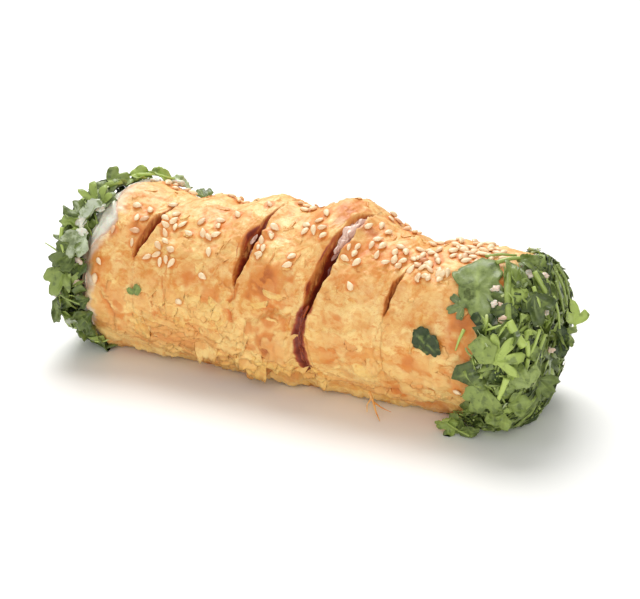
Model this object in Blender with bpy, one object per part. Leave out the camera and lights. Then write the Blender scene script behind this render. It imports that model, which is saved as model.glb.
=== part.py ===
"""A baked chicken roll: a flaky pastry tube round a chicken filling, slashed across its top.

Each end is dipped in a white cream sauce and pressed into chopped parsley. The roll lies along X on the
plane Z = 0, which its flattened underside touches, and the origin is under its middle. A place on the
roll is given by x, by an angle phi in degrees from the top towards the near side (-Y), and by the height
above the crust's skin, called lift. Lengths are in metres.
"""

import math

import bmesh
import bpy
from mathutils import Vector, noise

MM = 0.001

# Driving dimensions
CRUST_LENGTH = 135 * MM
CRUST_RADIUS = 24.5 * MM
CRUST_WALL = 4.0 * MM
AXIS_HEIGHT = 23.5 * MM
CREAM_FACE = 2.0 * MM
HERB_LUMPS = 1.5 * MM
HERB_LUMP_SIZE = 7.0 * MM
LEAF_THICKNESS = 0.8 * MM
GAP = 0.3 * MM

# The dipped ends: name, side, how far the cream and the herbs lap onto the crust, how deep the herbs are
# there, how far they stand out from the end, and how round they are there: 1 is a ball, less is squarer.
# Each lap and depth is four values in mm: on the near side, the top, the far side and the bottom.
CREAM_DEPTH = (1.3, 1.3, 1.3, 1.3)
CREAM_ROUNDNESS = 0.5
ENDS = (
    ("left", -1, (1.5, 8, 16, 1), (2, 1, 18, 3), (5.5, 4, 5, 3), 14.5 * MM, 0.4),
    ("right", 1, (5, 3, 6, 1), (6, 2, 12, 18), (5, 2, 4.5, 3), 10.5 * MM, 0.6),
)
COAT_EDGE = 0.55  # share of a coat's depth at its edge on the crust
COAT_FLAT = 0.12  # how flat a coat is across its end, 0 to 1

# How the pastry settles on its underside and rounds off at its ends
SETTLE_HEIGHT = 8.0 * MM
SETTLE_DEPTH = 1.2 * MM
END_ROUND = 5.0 * MM
END_DROP = 2.0 * MM
HALF_LENGTH = CRUST_LENGTH / 2
CREAM_FLOOR = 0.9 * MM
HERB_FLOOR = 0.4 * MM

# Risen pillows of pastry: x, phi in degrees, half length, half angle in degrees, rise
PILLOWS = (
    (-59 * MM, -20, 15 * MM, 75, 3.6 * MM),
    (-35 * MM, -25, 10 * MM, 70, 2.6 * MM),
    (-14 * MM, -22, 17 * MM, 75, 5.0 * MM),
    (10.5 * MM, -22, 19.5 * MM, 80, 7.6 * MM),
    (38 * MM, -15, 8 * MM, 60, -2.0 * MM),
    (-3 * MM, 54, 10 * MM, 28, 2.0 * MM),
    (-2 * MM, 106, 9 * MM, 24, 1.2 * MM),
    (21 * MM, 62, 11 * MM, 45, 1.6 * MM),
    (47 * MM, 50, 12 * MM, 50, 1.2 * MM),
    (-30 * MM, 55, 13 * MM, 45, 1.0 * MM),
    (-24 * MM, -75, 12 * MM, 40, 1.4 * MM),
    (5 * MM, -80, 13 * MM, 40, 1.6 * MM),
    (40 * MM, -75, 14 * MM, 40, 1.4 * MM),
)

# Slashes through the crust: x and phi at the upper end, x and phi at the lower end, greatest width
SLASHES = (
    (-40.5 * MM, 4, -49.5 * MM, 62, 5.0 * MM),
    (-10.0 * MM, 0, -13.5 * MM, 67, 5.0 * MM),
    (19.0 * MM, -6, 8.4 * MM, 78, 6.5 * MM),
    (38.0 * MM, 22, 32.8 * MM, 80, 3.4 * MM),
)
SLASH_STEPS = 12
SLASH_END_WIDTH = 0.35 * MM
SLASH_OVERCUT = 5.0 * MM
SLASH_HEIGHT = 6.0 * MM

# How the solids are faceted
CRUST_SIDES, CRUST_RINGS = 38, 34
CORE_SIDES, CORE_RINGS = 26, 20
COAT_SIDES, COAT_SKIRT_RINGS, COAT_FACE_RINGS = 32, 3, 6
CREAM_SIDES, CREAM_SKIRT_RINGS, CREAM_FACE_RINGS = 24, 2, 3

COLOURS = {
    "pastry_crust": ((0.72, 0.43, 0.16), 0.5),
    "chicken_filling": ((0.30, 0.09, 0.04), 0.35),
    "cream_sauce": ((0.86, 0.83, 0.74), 0.3),
    "chopped_parsley": ((0.09, 0.22, 0.04), 0.5),
    "parsley_leaf": ((0.10, 0.26, 0.06), 0.45),
}


def clamp(value, low=0.0, high=1.0):
    return max(low, min(high, value))


def bell(distance):
    """A smooth hump: 1 at distance 0, and 0 from distance 1 on."""
    return 0.0 if abs(distance) >= 1 else 0.5 + 0.5 * math.cos(math.pi * distance)


def angle_between(phi, other):
    return (phi - other + 180) % 360 - 180


def skin_radius(x, phi):
    """Distance from the roll's axis to the outside of the crust."""
    x = clamp(x, -HALF_LENGTH, HALF_LENGTH)
    radius = CRUST_RADIUS
    for centre, middle, half_length, half_angle, rise in PILLOWS:
        radius += rise * bell((x - centre) / half_length) * bell(angle_between(phi, middle) / half_angle)
    into_end = clamp((abs(x) - HALF_LENGTH + END_ROUND) / END_ROUND)
    return radius - END_DROP * (1 - math.sqrt(1 - into_end**2))


def settled(z):
    """The height z of a round roll after its own weight has flattened its underside."""
    return z - SETTLE_DEPTH * clamp(1 - z / SETTLE_HEIGHT, 0, 2)


def on_roll(x, phi, lift=0.0, share=1.0, floor=0.0):
    """The point at x and phi, lift above the skin, drawn in towards the axis to a share of its radius."""
    turn = math.radians(phi)
    radius = (skin_radius(x, phi) + lift) * share
    z = settled(AXIS_HEIGHT + radius * math.cos(turn))
    return Vector((x, -radius * math.sin(turn), max(z, floor)))


def material(name):
    found = bpy.data.materials.get(name)
    if found:
        return found
    colour, roughness = COLOURS[name]
    made = bpy.data.materials.new(name)
    made.use_nodes = True
    shader = made.node_tree.nodes["Principled BSDF"]
    shader.inputs["Base Color"].default_value = (*colour, 1)
    shader.inputs["Roughness"].default_value = roughness
    shader.inputs["Metallic"].default_value = 0
    return made


def new_object(name, bm, collection, finish=None):
    """An object of the mesh in bm, with its faces pointing out."""
    bm.normal_update()
    bmesh.ops.recalc_face_normals(bm, faces=bm.faces)
    mesh = bpy.data.meshes.new(name)
    bm.to_mesh(mesh)
    bm.free()
    obj = bpy.data.objects.new(name, mesh)
    collection.objects.link(obj)
    if finish:
        mesh.materials.append(material(finish))
        mesh.shade_smooth()
        mesh.set_sharp_from_angle(angle=math.radians(50))
    else:
        obj.hide_render = True
        obj.display_type = "WIRE"
    return obj


def subtract(obj, cutter):
    cut = obj.modifiers.new("cut by " + cutter.name, "BOOLEAN")
    cut.operation = "DIFFERENCE"
    cut.solver = "EXACT"
    cut.object = cutter


def ringed_cylinder(sides, rings):
    """A unit cylinder along Z with rings of faces, each end a fan round a centre vertex."""
    bm = bmesh.new()
    bmesh.ops.create_cone(
        bm, cap_ends=True, cap_tris=True, segments=sides, radius1=1, radius2=1, depth=1
    )
    uprights = [e for e in bm.edges if abs(e.verts[0].co.z - e.verts[1].co.z) > 0.5]
    bmesh.ops.subdivide_edges(bm, edges=uprights, cuts=rings - 1)
    return bm


def bend_cylinder(bm, place):
    """Moves each vertex to place(share along, phi, is centre), from a unit cylinder along Z."""
    for vertex in bm.verts:
        x, y, z = vertex.co
        is_centre = math.hypot(x, y) < 0.5
        vertex.co = place(z + 0.5, math.degrees(math.atan2(y, x)), is_centre)


def roll_length(name, collection, half_length, lift, sides, rings, floor=0.0, finish=None):
    """A closed length of the roll, lift proud of the crust's skin, or inside it where lift is negative."""
    bm = ringed_cylinder(sides, rings)

    def place(share, phi, is_centre):
        x = (2 * share - 1) * half_length
        return Vector((x, 0, AXIS_HEIGHT)) if is_centre else on_roll(x, phi, lift, floor=floor)

    bend_cylinder(bm, place)
    return new_object(name, bm, collection, finish)


def slash_cutter(index, slash, collection):
    """A lens-shaped wedge through the crust, bent round the roll along the slash."""
    upper_x, upper_phi, lower_x, lower_phi, width = slash
    bm = bmesh.new()
    bmesh.ops.create_cube(bm, size=1)
    along = [e for e in bm.edges if abs(e.verts[0].co.z - e.verts[1].co.z) > 0.5]
    bmesh.ops.subdivide_edges(bm, edges=along, cuts=SLASH_STEPS - 1)
    for vertex in bm.verts:
        share = vertex.co.z + 0.5
        half_width = max(SLASH_END_WIDTH, width * math.sin(math.pi * share) ** 0.75) / 2
        x = upper_x + (lower_x - upper_x) * share + math.copysign(half_width, vertex.co.x)
        phi = upper_phi + (lower_phi - upper_phi) * share
        lift = SLASH_HEIGHT if vertex.co.y > 0 else -CRUST_WALL - SLASH_OVERCUT
        vertex.co = on_roll(x, phi, lift)
    return new_object(f"slash_{index}", bm, collection)


def lump(point):
    """Uneven outline of a heap of chopped leaves, from -1 to 1."""
    return noise.noise(point / HERB_LUMP_SIZE)


def end_coat(name, collection, shape, lumps=0.0, floor=0.0, spare=0.0, finish=None):
    """A closed cap over one end of the roll, side -1 or 1.

    Its outside laps skirt(phi) onto the crust at lift(phi) above it, and then turns over the end, face
    beyond the crust. spare grows it all round.
    """
    side, skirt, lift, face, roundness, rings = shape
    sides, skirt_rings, face_rings = rings
    bm = ringed_cylinder(sides, skirt_rings + face_rings)
    turn_over = skirt_rings / (skirt_rings + face_rings)

    def place(share, phi, is_centre):
        along = share / turn_over
        around = clamp((share - turn_over) / (1 - turn_over))
        quarter = around * math.pi / 2
        end = HALF_LENGTH - (0 if is_centre else (skirt(phi) + spare) * (1 - min(along, 1)))
        x = side * (end + (face + spare) * math.sin(quarter))
        if is_centre:
            return Vector((x, 0, AXIS_HEIGHT))
        proud = lift(phi) * clamp(COAT_EDGE + (1 - COAT_EDGE) * along) + spare
        draw_in = max(math.cos(quarter), COAT_FLAT) ** roundness
        point = on_roll(x, phi, proud, share=draw_in, floor=floor)
        if lumps:
            across, up = point.y / CRUST_RADIUS, (point.z - AXIS_HEIGHT) / CRUST_RADIUS
            outward = Vector((side * math.sin(quarter), across, up)).normalized()
            point += outward * lumps * lump(point)
            point.z = max(point.z, floor)
        return point

    bend_cylinder(bm, place)
    return new_object(name, bm, collection, finish)


def by_side(near, top, far, bottom):
    """A measure that changes smoothly with phi, from its values in mm on four sides of the roll."""

    def at(phi):
        turn = math.radians(phi)
        across, up = math.sin(turn), math.cos(turn)
        return MM * ((near if across > 0 else far) * across**2 + (top if up > 0 else bottom) * up**2)

    return at


def leaf(name, collection, x, phi, size, lobes, lift):
    """A flat lobed leaf laid on the crust: a disc, drawn out into lobes and bent round the roll."""
    bm = bmesh.new()
    bmesh.ops.create_circle(bm, cap_ends=True, cap_tris=True, segments=5 * lobes, radius=1)
    rim = [e for e in bm.edges if e.is_boundary]
    spokes = [e for e in bm.edges if e not in rim]
    bmesh.ops.subdivide_edges(bm, edges=spokes, cuts=2)
    underside = bm.faces[:]
    raised = bmesh.ops.extrude_face_region(bm, geom=underside, use_keep_orig=True)["geom"]
    upper = {g for g in raised if isinstance(g, bmesh.types.BMVert)}
    for vertex in bm.verts:
        turn = math.atan2(vertex.co.y, vertex.co.x)
        out = vertex.co.length * (1 + 0.16 * math.cos(lobes * turn))
        along, across = size / 2 * out * math.cos(turn), size / 2 * out * math.sin(turn)
        height = lift + (LEAF_THICKNESS if vertex in upper else 0)
        vertex.co = on_roll(x + along, phi + math.degrees(across / CRUST_RADIUS), height)
    return new_object(name, bm, collection, "parsley_leaf")


def build_crust(parts, cutters):
    crust = roll_length(
        "pastry_crust", parts, HALF_LENGTH, 0, CRUST_SIDES, CRUST_RINGS, finish="pastry_crust"
    )
    core = roll_length(
        "crust_core", cutters, HALF_LENGTH + GAP, -CRUST_WALL, CORE_SIDES, CORE_RINGS
    )
    subtract(crust, core)
    for index, slash in enumerate(SLASHES, start=1):
        subtract(crust, slash_cutter(index, slash, cutters))


def build_filling(parts):
    roll_length(
        "chicken_filling",
        parts,
        HALF_LENGTH - GAP,
        -CRUST_WALL - 2 * GAP,
        CORE_SIDES,
        CORE_RINGS,
        finish="chicken_filling",
    )


def build_ends(parts, cutters):
    cream_rings = (CREAM_SIDES, CREAM_SKIRT_RINGS, CREAM_FACE_RINGS)
    herb_rings = (COAT_SIDES, COAT_SKIRT_RINGS, COAT_FACE_RINGS)
    crust_room = roll_length(
        "crust_room", cutters, HALF_LENGTH + GAP, GAP, CRUST_SIDES, CRUST_RINGS, floor=-5 * MM
    )
    for word, side, cream_lap, herb_lap, herb_depth, face, roundness in ENDS:
        cream_lift = by_side(*CREAM_DEPTH)
        cream_shape = (side, by_side(*cream_lap), cream_lift, CREAM_FACE, CREAM_ROUNDNESS, cream_rings)
        cream = end_coat(f"cream_{word}", parts, cream_shape, floor=CREAM_FLOOR, finish="cream_sauce")
        subtract(cream, crust_room)
        cream_room = end_coat(f"cream_room_{word}", cutters, cream_shape, floor=-GAP, spare=GAP)
        herb_shape = (side, by_side(*herb_lap), by_side(*herb_depth), face, roundness, herb_rings)
        herbs = end_coat(
            f"parsley_coat_{word}", parts, herb_shape, HERB_LUMPS, HERB_FLOOR, finish="chopped_parsley"
        )
        subtract(herbs, crust_room)
        subtract(herbs, cream_room)


def build_leaves(parts):
    leaf("parsley_leaf_large", parts, 55.0 * MM, 40, 14 * MM, 3, 2 * GAP)
    leaf("parsley_leaf_small", parts, 47.5 * MM, 78, 8.5 * MM, 3, 2 * GAP)


def main():
    for obj in list(bpy.data.objects):
        bpy.data.objects.remove(obj)
    parts = bpy.data.collections.new("chicken_roll")
    cutters = bpy.data.collections.new("cutters")
    for collection in (parts, cutters):
        bpy.context.scene.collection.children.link(collection)
    build_crust(parts, cutters)
    build_filling(parts)
    build_ends(parts, cutters)
    build_leaves(parts)


main()
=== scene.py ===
"""A baked chicken roll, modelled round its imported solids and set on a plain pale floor.

The roll lies along X. A place on it is given by x, by phi in degrees from the top towards the near side
(-Y), and by lift, the height above the plain skin of the crust. Lengths are in metres.
"""

import math
from collections import namedtuple

import bmesh
import bpy
import numpy as np
from bpy.props import FloatProperty, FloatVectorProperty, IntProperty, PointerProperty
from mathutils import Matrix, Vector


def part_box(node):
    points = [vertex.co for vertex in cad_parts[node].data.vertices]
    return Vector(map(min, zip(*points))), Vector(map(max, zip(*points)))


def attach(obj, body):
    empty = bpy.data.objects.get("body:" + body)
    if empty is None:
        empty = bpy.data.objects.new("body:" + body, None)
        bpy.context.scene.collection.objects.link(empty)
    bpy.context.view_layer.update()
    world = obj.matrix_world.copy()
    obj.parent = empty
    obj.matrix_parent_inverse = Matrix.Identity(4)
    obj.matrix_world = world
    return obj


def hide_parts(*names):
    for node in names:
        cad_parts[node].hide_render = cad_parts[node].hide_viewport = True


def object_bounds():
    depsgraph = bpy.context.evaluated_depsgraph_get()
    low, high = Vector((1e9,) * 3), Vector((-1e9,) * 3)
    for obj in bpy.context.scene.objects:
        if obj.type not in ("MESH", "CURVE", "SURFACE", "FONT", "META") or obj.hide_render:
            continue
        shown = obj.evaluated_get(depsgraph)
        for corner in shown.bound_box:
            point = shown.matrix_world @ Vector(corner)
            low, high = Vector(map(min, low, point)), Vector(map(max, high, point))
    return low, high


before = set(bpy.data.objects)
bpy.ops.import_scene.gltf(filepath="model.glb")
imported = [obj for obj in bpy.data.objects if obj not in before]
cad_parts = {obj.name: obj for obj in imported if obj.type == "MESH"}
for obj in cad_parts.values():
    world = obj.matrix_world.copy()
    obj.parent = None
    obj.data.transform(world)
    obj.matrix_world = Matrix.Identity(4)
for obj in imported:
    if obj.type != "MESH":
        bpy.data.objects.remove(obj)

bl_info = {
    "name": "Chicken Roll",
    "version": (1, 0, 0),
    "blender": (4, 5, 0),
    "location": "3D View > Sidebar > Roll",
    "description": "Models a slashed puff pastry roll with sesame seeds, cream sauce and chopped parsley",
    "category": "Add Mesh",
}

MM = 0.001
CAD_BOX = [list(corner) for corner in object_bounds()]
CRUST_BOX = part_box("pastry_crust")
HALF_LENGTH = CRUST_BOX[1][0]

# The plain skin of the roll
CRUST_RADIUS = 24.5 * MM
AXIS_HEIGHT = 23.5 * MM
CRUST_WALL = 4.0 * MM
SETTLE_HEIGHT = 8.0 * MM
SETTLE_DEPTH = 1.2 * MM
END_ROUND = 5.0 * MM
END_DROP = 2.0 * MM

# Risen pillows of pastry: x, phi in degrees, half length, half angle in degrees, rise
PILLOWS = (
    (-59 * MM, -20, 15 * MM, 75, 3.6 * MM),
    (-35 * MM, -25, 10 * MM, 70, 2.6 * MM),
    (-14 * MM, -22, 17 * MM, 75, 5.0 * MM),
    (10.5 * MM, -22, 19.5 * MM, 80, 7.6 * MM),
    (38 * MM, -15, 8 * MM, 60, -2.0 * MM),
    (-3 * MM, 54, 10 * MM, 28, 2.0 * MM),
    (-2 * MM, 106, 9 * MM, 24, 1.2 * MM),
    (21 * MM, 62, 11 * MM, 45, 1.6 * MM),
    (47 * MM, 50, 12 * MM, 50, 1.2 * MM),
    (-30 * MM, 55, 13 * MM, 45, 1.0 * MM),
    (-24 * MM, -75, 12 * MM, 40, 1.4 * MM),
    (5 * MM, -80, 13 * MM, 40, 1.6 * MM),
    (40 * MM, -75, 14 * MM, 40, 1.4 * MM),
)

# A slash: x and phi at its upper end, x and phi at its lower end, width of the opening, width of the slope
# that leads down to it on the side of falling x, depth, and the share of its length where it gets deep
Slash = namedtuple("Slash", "upper_x upper_phi lower_x lower_phi width slope depth deep_from")
SLASHES = (
    Slash(-44.0 * MM, 0, -50.0 * MM, 62, 4.4 * MM, 3.2 * MM, 5.6 * MM, 0.42),
    Slash(-10.5 * MM, -4, -14.8 * MM, 69, 5.2 * MM, 3.8 * MM, 6.6 * MM, 0.36),
    Slash(18.6 * MM, -7, 9.2 * MM, 82, 6.4 * MM, 3.8 * MM, 6.6 * MM, 0.02),
    Slash(37.5 * MM, 26, 33.4 * MM, 72, 2.8 * MM, 1.8 * MM, 3.8 * MM, 0.35),
)
SLIT_WIDTH = 0.4  # how wide a slash is above where it gets deep, as a share of its width
SLIT_DEPTH = 0.3  # how deep it is there, as a share of its depth
SLASH_BAND = 6.5 * MM  # half width of the strip of faces that follows each slash
LIP_RISE = 1.0 * MM

# Creases in the crust: points of x in mm and phi, half width, depth, and how far the dough on the side
# of rising x, or of rising phi for a crease along the roll, stands above the other side
CREASES = (
    (((8.2, 80), (7.3, 93), (7.7, 110), (9.2, 132)), 1.4 * MM, 1.4 * MM, 0.8 * MM),
    (((5.0, 84), (4.2, 105), (4.4, 124)), 0.7 * MM, -1.0 * MM, 0.0),
    (((-38.8, 70), (-38.2, 84), (-37.4, 99)), 0.3 * MM, 0.6 * MM, 0.6 * MM),
    (((-13.5, 66), (-16, 80), (-15, 92)), 0.8 * MM, 0.8 * MM, 0.3 * MM),
    (((43, 70), (42.4, 90), (43, 108)), 0.7 * MM, 0.18 * MM, 0.3 * MM),
    (((50, 60), (49.4, 72), (48, 86)), 0.7 * MM, 0.18 * MM, -0.3 * MM),
    (((33, 74), (31, 90), (31.5, 104)), 0.7 * MM, 0.2 * MM, 0.4 * MM),
    (((30, 131), (36, 128), (42, 131)), 0.9 * MM, 1.5 * MM, 0.4 * MM),
    (((-60, 92), (-57, 104), (-58, 118)), 0.7 * MM, 0.5 * MM, 0.3 * MM),
    (((20, 100), (26, 92), (31, 90)), 0.7 * MM, 0.15 * MM, 0.3 * MM),
)

# Toasted places: x in mm, phi, size in mm, strength
TOASTED = (
    (-5.0, 61, 8.5, 0.85),
    (-1.5, 105, 7.0, 0.85),
    (-9.0, 128, 6.0, 0.5),
    (-22, 76, 6.0, 0.45),
    (-61, 70, 5.0, 0.45),
    (-52, 40, 4.0, 0.7),
    (-56, 117, 3.5, 0.95),
    (-66, 60, 5.0, 0.5),
    (57, 64, 6.0, 0.75),
    (54, 80, 5.0, 0.65),
    (42, 98, 3.5, 0.6),
    (66, 42, 7.0, 0.95),
    (60, 88, 5.0, 0.5),
    (-65, 36, 4.0, 0.5),
    (12, 2, 5.0, 0.75),
    (4, 10, 7.0, 0.45),
    (24, 97, 4.0, 0.35),
    (38, 127, 4.0, 0.7),
    (-27, 112, 6.0, 0.35),
    (30, 24, 5.0, 0.3),
    (-20, -60, 14.0, 0.45),
    (22, -55, 14.0, 0.5),
    (48, -80, 12.0, 0.45),
    (-48, -85, 9.0, 0.45),
)

# Sesame seeds: x in mm, phi, spread in x in mm, spread in phi, how many
SEED_GROUPS = (
    (-61.5, 71, 2.0, 9, 2),
    (-59.8, 45, 0.5, 2, 1),
    (-53.5, 27, 3.0, 8, 4),
    (-51.5, 45, 1.5, 6, 2),
    (-46.6, 9, 0.5, 2, 1),
    (-42.0, 29, 4.2, 9, 7),
    (-31.0, 27, 6.0, 11, 5),
    (-26.0, 40, 2.5, 9, 3),
    (-41.0, 53, 4.8, 8, 8),
    (-25.0, 62, 1.0, 3, 1),
    (-32.7, 84, 0.3, 1, 1),
    (-22.8, 13, 0.5, 2, 1),
    (-16.5, 0, 2.0, 4, 1),
    (-9.4, 38, 1.6, 8, 5),
    (-8.0, 24, 0.8, 4, 3),
    (-4.0, -10, 5.0, 7, 4),
    (5.0, 16, 6.0, 10, 7),
    (1.6, 44, 1.2, 5, 2),
    (19.4, 35, 2.4, 8, 4),
    (23.0, 20, 3.6, 9, 5),
    (22.6, 55, 0.3, 1, 1),
    (22.8, 4, 3.0, 6, 3),
    (31.0, 25, 3.4, 10, 7),
    (40.5, 22, 4.0, 13, 18),
    (45.0, 37, 4.2, 5, 9),
    (50.5, 9, 4.8, 10, 17),
    (57.0, 4, 3.5, 9, 8),
    (61.0, 14, 1.2, 4, 2),
    (56.5, 113, 0.3, 1, 1),
    (-55, -22, 7, 12, 5),
    (-30, -24, 9, 14, 9),
    (0, -30, 12, 12, 10),
    (27, -24, 8, 14, 8),
    (46, -22, 9, 16, 22),
)

# The dipped ends: side, how far the herbs lap onto the crust, how deep they are there, how far they stand
# out from the end, and how round they are there. Laps and depths are in mm: near, top, far, bottom.
ENDS = {
    "left": (-1, (2, 1, 18, 3), (5.5, 4, 5, 3), 14.5 * MM, 0.4),
    "right": (1, (6, 2, 12, 18), (5, 2, 4.5, 3), 9.0 * MM, 0.6),
}
COAT_EDGE = 0.55  # share of a coat's depth at its edge on the crust
COAT_TURN = 1 / 3  # where along a coat it turns from the crust over the end
CREAM_TURN = 0.6  # the same along the cream
CREAM_DEPTH = 1.4 * MM
CREAM_FACE = {"left": 5.0 * MM, "right": 2.0 * MM}  # how far the cream stands out from the end
CREAM_ROUND = {"left": 0.3, "right": 0.5}  # how round it is there

# How far the cream reaches onto the crust: phi and mm
CREAM_REACH = {
    "left": ((-180, 1), (-110, 6), (-62, 15), (-30, 10), (-8, 2.2), (18, 3.5), (34, 7), (47, 5.5), (58, 1.6),
             (90, 1.0), (120, 1.8), (180, 1)),
    "right": ((-180, 1), (-90, 4), (-30, 1.5), (10, 1.0), (35, 3.0), (50, 4.2), (75, 2.5), (130, 2),
              (180, 1)),
}


def tone(red, green, blue):
    """A colour picked as it looks on a screen, 0 to 255, as the linear colour that shaders use."""
    shares = [channel / 255 for channel in (red, green, blue)]
    return tuple(s / 12.92 if s <= 0.04045 else ((s + 0.055) / 1.055) ** 2.4 for s in shares)


def colour_choice(name, red, green, blue):
    """A colour property that starts as the given tone."""
    return FloatVectorProperty(
        name=name, description=f"{name} of the roll", subtype="COLOR", size=3, min=0, max=1,
        default=tone(red, green, blue),
    )


class RollSizes(bpy.types.PropertyGroup):
    """Sizes and counts of what lies on and in the crust."""

    crust_rows: IntProperty(
        name="Crust rows", description="Rows of faces round the crust", default=280, min=40
    )
    gap_columns: IntProperty(
        name="Gap columns", description="Columns of faces between all the slashes", default=150, min=40
    )
    seed_length: FloatProperty(
        name="Seed length", description="Length of a sesame seed", default=3.2 * MM, unit="LENGTH"
    )
    leaf_length: FloatProperty(
        name="Leaf length", description="Length of a middling parsley leaf", default=6.8 * MM, unit="LENGTH"
    )
    leaves: IntProperty(name="Leaves", description="Small leaves on each end", default=170, min=0)
    cut_leaves: IntProperty(name="Cut leaves", description="Cut bits of leaf on each end", default=680, min=0)
    stems: IntProperty(name="Stems", description="Cut stems on each end", default=165, min=0)
    shreds: IntProperty(name="Shreds", description="Thin shreds of leaf on each end", default=520, min=0)


class RollColours(bpy.types.PropertyGroup):
    """Colours of the food."""

    crust_tan: colour_choice("Crust tan", 232, 172, 88)
    crust_pale: colour_choice("Crust pale", 248, 212, 140)
    crust_gold: colour_choice("Crust gold", 246, 194, 76)
    crust_orange: colour_choice("Crust orange", 218, 126, 44)
    crust_brown: colour_choice("Crust brown", 168, 82, 28)
    crust_milky: colour_choice("Crust milky", 238, 224, 204)
    sauce: colour_choice("Sauce", 116, 34, 12)
    filling: colour_choice("Filling", 128, 50, 26)
    meat: colour_choice("Meat", 236, 200, 180)
    cream: colour_choice("Cream", 226, 224, 206)
    seed: colour_choice("Seed", 250, 226, 184)
    leaf_dark: colour_choice("Leaf dark", 44, 62, 20)
    leaf_light: colour_choice("Leaf light", 176, 196, 98)
    stem: colour_choice("Stem", 184, 204, 104)


class StageChoices(bpy.types.PropertyGroup):
    """The view and the lights."""

    floor: colour_choice("Floor", 250, 249, 246)
    key_power: FloatProperty(
        name="Key light", description="Power of the key light", default=13.5, unit="POWER"
    )
    fill_power: FloatProperty(
        name="Fill light", description="Power of the fill light", default=6.0, unit="POWER"
    )
    sky: FloatProperty(name="Sky", description="Strength of the light from all round", default=0.5)
    lens: FloatProperty(name="Lens", description="Focal length in millimetres", default=95.0)


# ------------------------------------------------------------------ measures of the roll


def ease(low, high, value):
    """0 on low's side, 1 on high's side, and smooth between."""
    share = np.clip((value - low) / (high - low), 0, 1)
    return share * share * (3 - 2 * share)


def bell(distance):
    """A smooth hump: 1 at distance 0, and 0 from distance 1 on."""
    return np.where(np.abs(distance) < 1, 0.5 + 0.5 * np.cos(np.pi * distance), 0)


def angle_between(phi, other):
    """The angle from other to phi, -180 to 180 degrees."""
    return (phi - other + 180) % 360 - 180


# The random tables that grain reads, how far apart its seeds lie, and what brings it to about -1 to 1
LATTICE = np.random.default_rng(7)
SHUFFLE = LATTICE.permutation(256)
SLOPES = LATTICE.normal(size=(256, 3))
SLOPES /= np.linalg.norm(SLOPES, axis=1)[:, None]
SEED_STEP = 17.31
GRAIN_GAIN = 1.7


def grain(points, size, seed=0):
    """Smooth random relief, about -1 to 1, at an array of points; its humps are about size across."""
    places = points / size + seed * SEED_STEP
    cell = np.floor(places).astype(int)
    part = places - cell
    fade = part**3 * (part * (part * 6 - 15) + 10)
    total = np.zeros(len(points))
    for corner in np.ndindex(2, 2, 2):
        x, y, z = ((cell + corner) & 255).T
        slope = SLOPES[SHUFFLE[(SHUFFLE[(SHUFFLE[x] + y) & 255] + z) & 255]]
        weight = np.prod(np.where(corner, fade, 1 - fade), axis=1)
        total += weight * np.sum(slope * (part - corner), axis=1)
    return total * GRAIN_GAIN


def line_grain(values, size, seed=0):
    """Smooth random relief along one measure."""
    return grain(np.stack((values, 0 * values, 0 * values), axis=1), size, seed)


def skin_radius(x, phi):
    """Distance from the roll's axis to the plain skin of the crust."""
    x = np.clip(x, -HALF_LENGTH, HALF_LENGTH)
    radius = CRUST_RADIUS
    for centre, middle, half_length, half_angle, rise in PILLOWS:
        along = bell((x - centre) / half_length)
        radius = radius + rise * along * bell(angle_between(phi, middle) / half_angle)
    into_end = np.clip((np.abs(x) - HALF_LENGTH + END_ROUND) / END_ROUND, 0, 1)
    return radius - END_DROP * (1 - np.sqrt(1 - into_end**2))


def on_roll(x, phi, lift=0.0, share=1.0, floor=0.0):
    """Points at x and phi, lift above the skin, drawn in towards the axis to a share of the radius."""
    turn = np.radians(phi)
    radius = (skin_radius(x, phi) + lift) * share
    z = AXIS_HEIGHT + radius * np.cos(turn)
    z = z - SETTLE_DEPTH * np.clip(1 - z / SETTLE_HEIGHT, 0, 2)
    y = -radius * np.sin(turn)
    return np.stack(np.broadcast_arrays(x, y, np.maximum(z, floor)), axis=-1)


def crease_shape(x, phi, crease, wander):
    """How one crease moves the skin, and how near each point is to it (1 in it, 0 away)."""
    points, width, depth, ledge = crease
    around = CRUST_RADIUS * np.radians(phi)
    nearest = np.full(len(x), 1.0)
    side = np.zeros(len(x))
    for (x0, phi0), (x1, phi1) in zip(points, points[1:]):
        start = np.array((x0 * MM, CRUST_RADIUS * math.radians(phi0)))
        step = np.array((x1 * MM, CRUST_RADIUS * math.radians(phi1))) - start
        away = np.stack((x + wander, around + wander), axis=1) - start
        share = np.clip(away @ step / (step @ step), 0, 1)
        gap = away - share[:, None] * step
        distance = np.hypot(*gap.T)
        cross = (step[1] * away[:, 0] - step[0] * away[:, 1]) / math.hypot(*step)
        if abs(step[0]) > abs(step[1]):
            cross = -cross * math.copysign(1, step[0])
        closer = distance < nearest
        nearest = np.where(closer, distance, nearest)
        side = np.where(closer, cross, side)
    valley = np.exp(-((nearest / width) ** 2))
    step_up = ease(0, 0.5 * width, side) * np.exp(-nearest / (4.5 * MM)) * (nearest < 20 * MM)
    return ledge * step_up - depth * valley, valley


def sheet_shape(x, phi, flat):
    """Thin sheets of dough, overlapping like shingles low on the roll: their lift, and the gaps below, which
    the crust's colour darkens as painted shade.
    """
    around = CRUST_RADIUS * np.radians(np.abs(phi))
    near = ease(92, 101, phi) * ease(150, 136, phi) * ease(-56, -44, x / MM) * ease(-4, -13, x / MM)
    rest = ease(96, 112, np.abs(phi)) * ease(158, 142, np.abs(phi)) * ease(0.0, 0.5, grain(flat, 12 * MM, 16))
    region = np.maximum(near, 0.5 * rest)
    run = around / MM - 0.2 * x / MM + 1.1 * grain(flat, 11 * MM, 17) + 0.22 * grain(flat, 2.6 * MM, 18)
    step = (run / 2.3) % 1
    gap = np.exp(-((step / 0.12) ** 2)) + np.exp(-(((1 - step) / 0.05) ** 2))
    return region * (step - 0.35) * 0.85 * MM, region * gap


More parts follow.
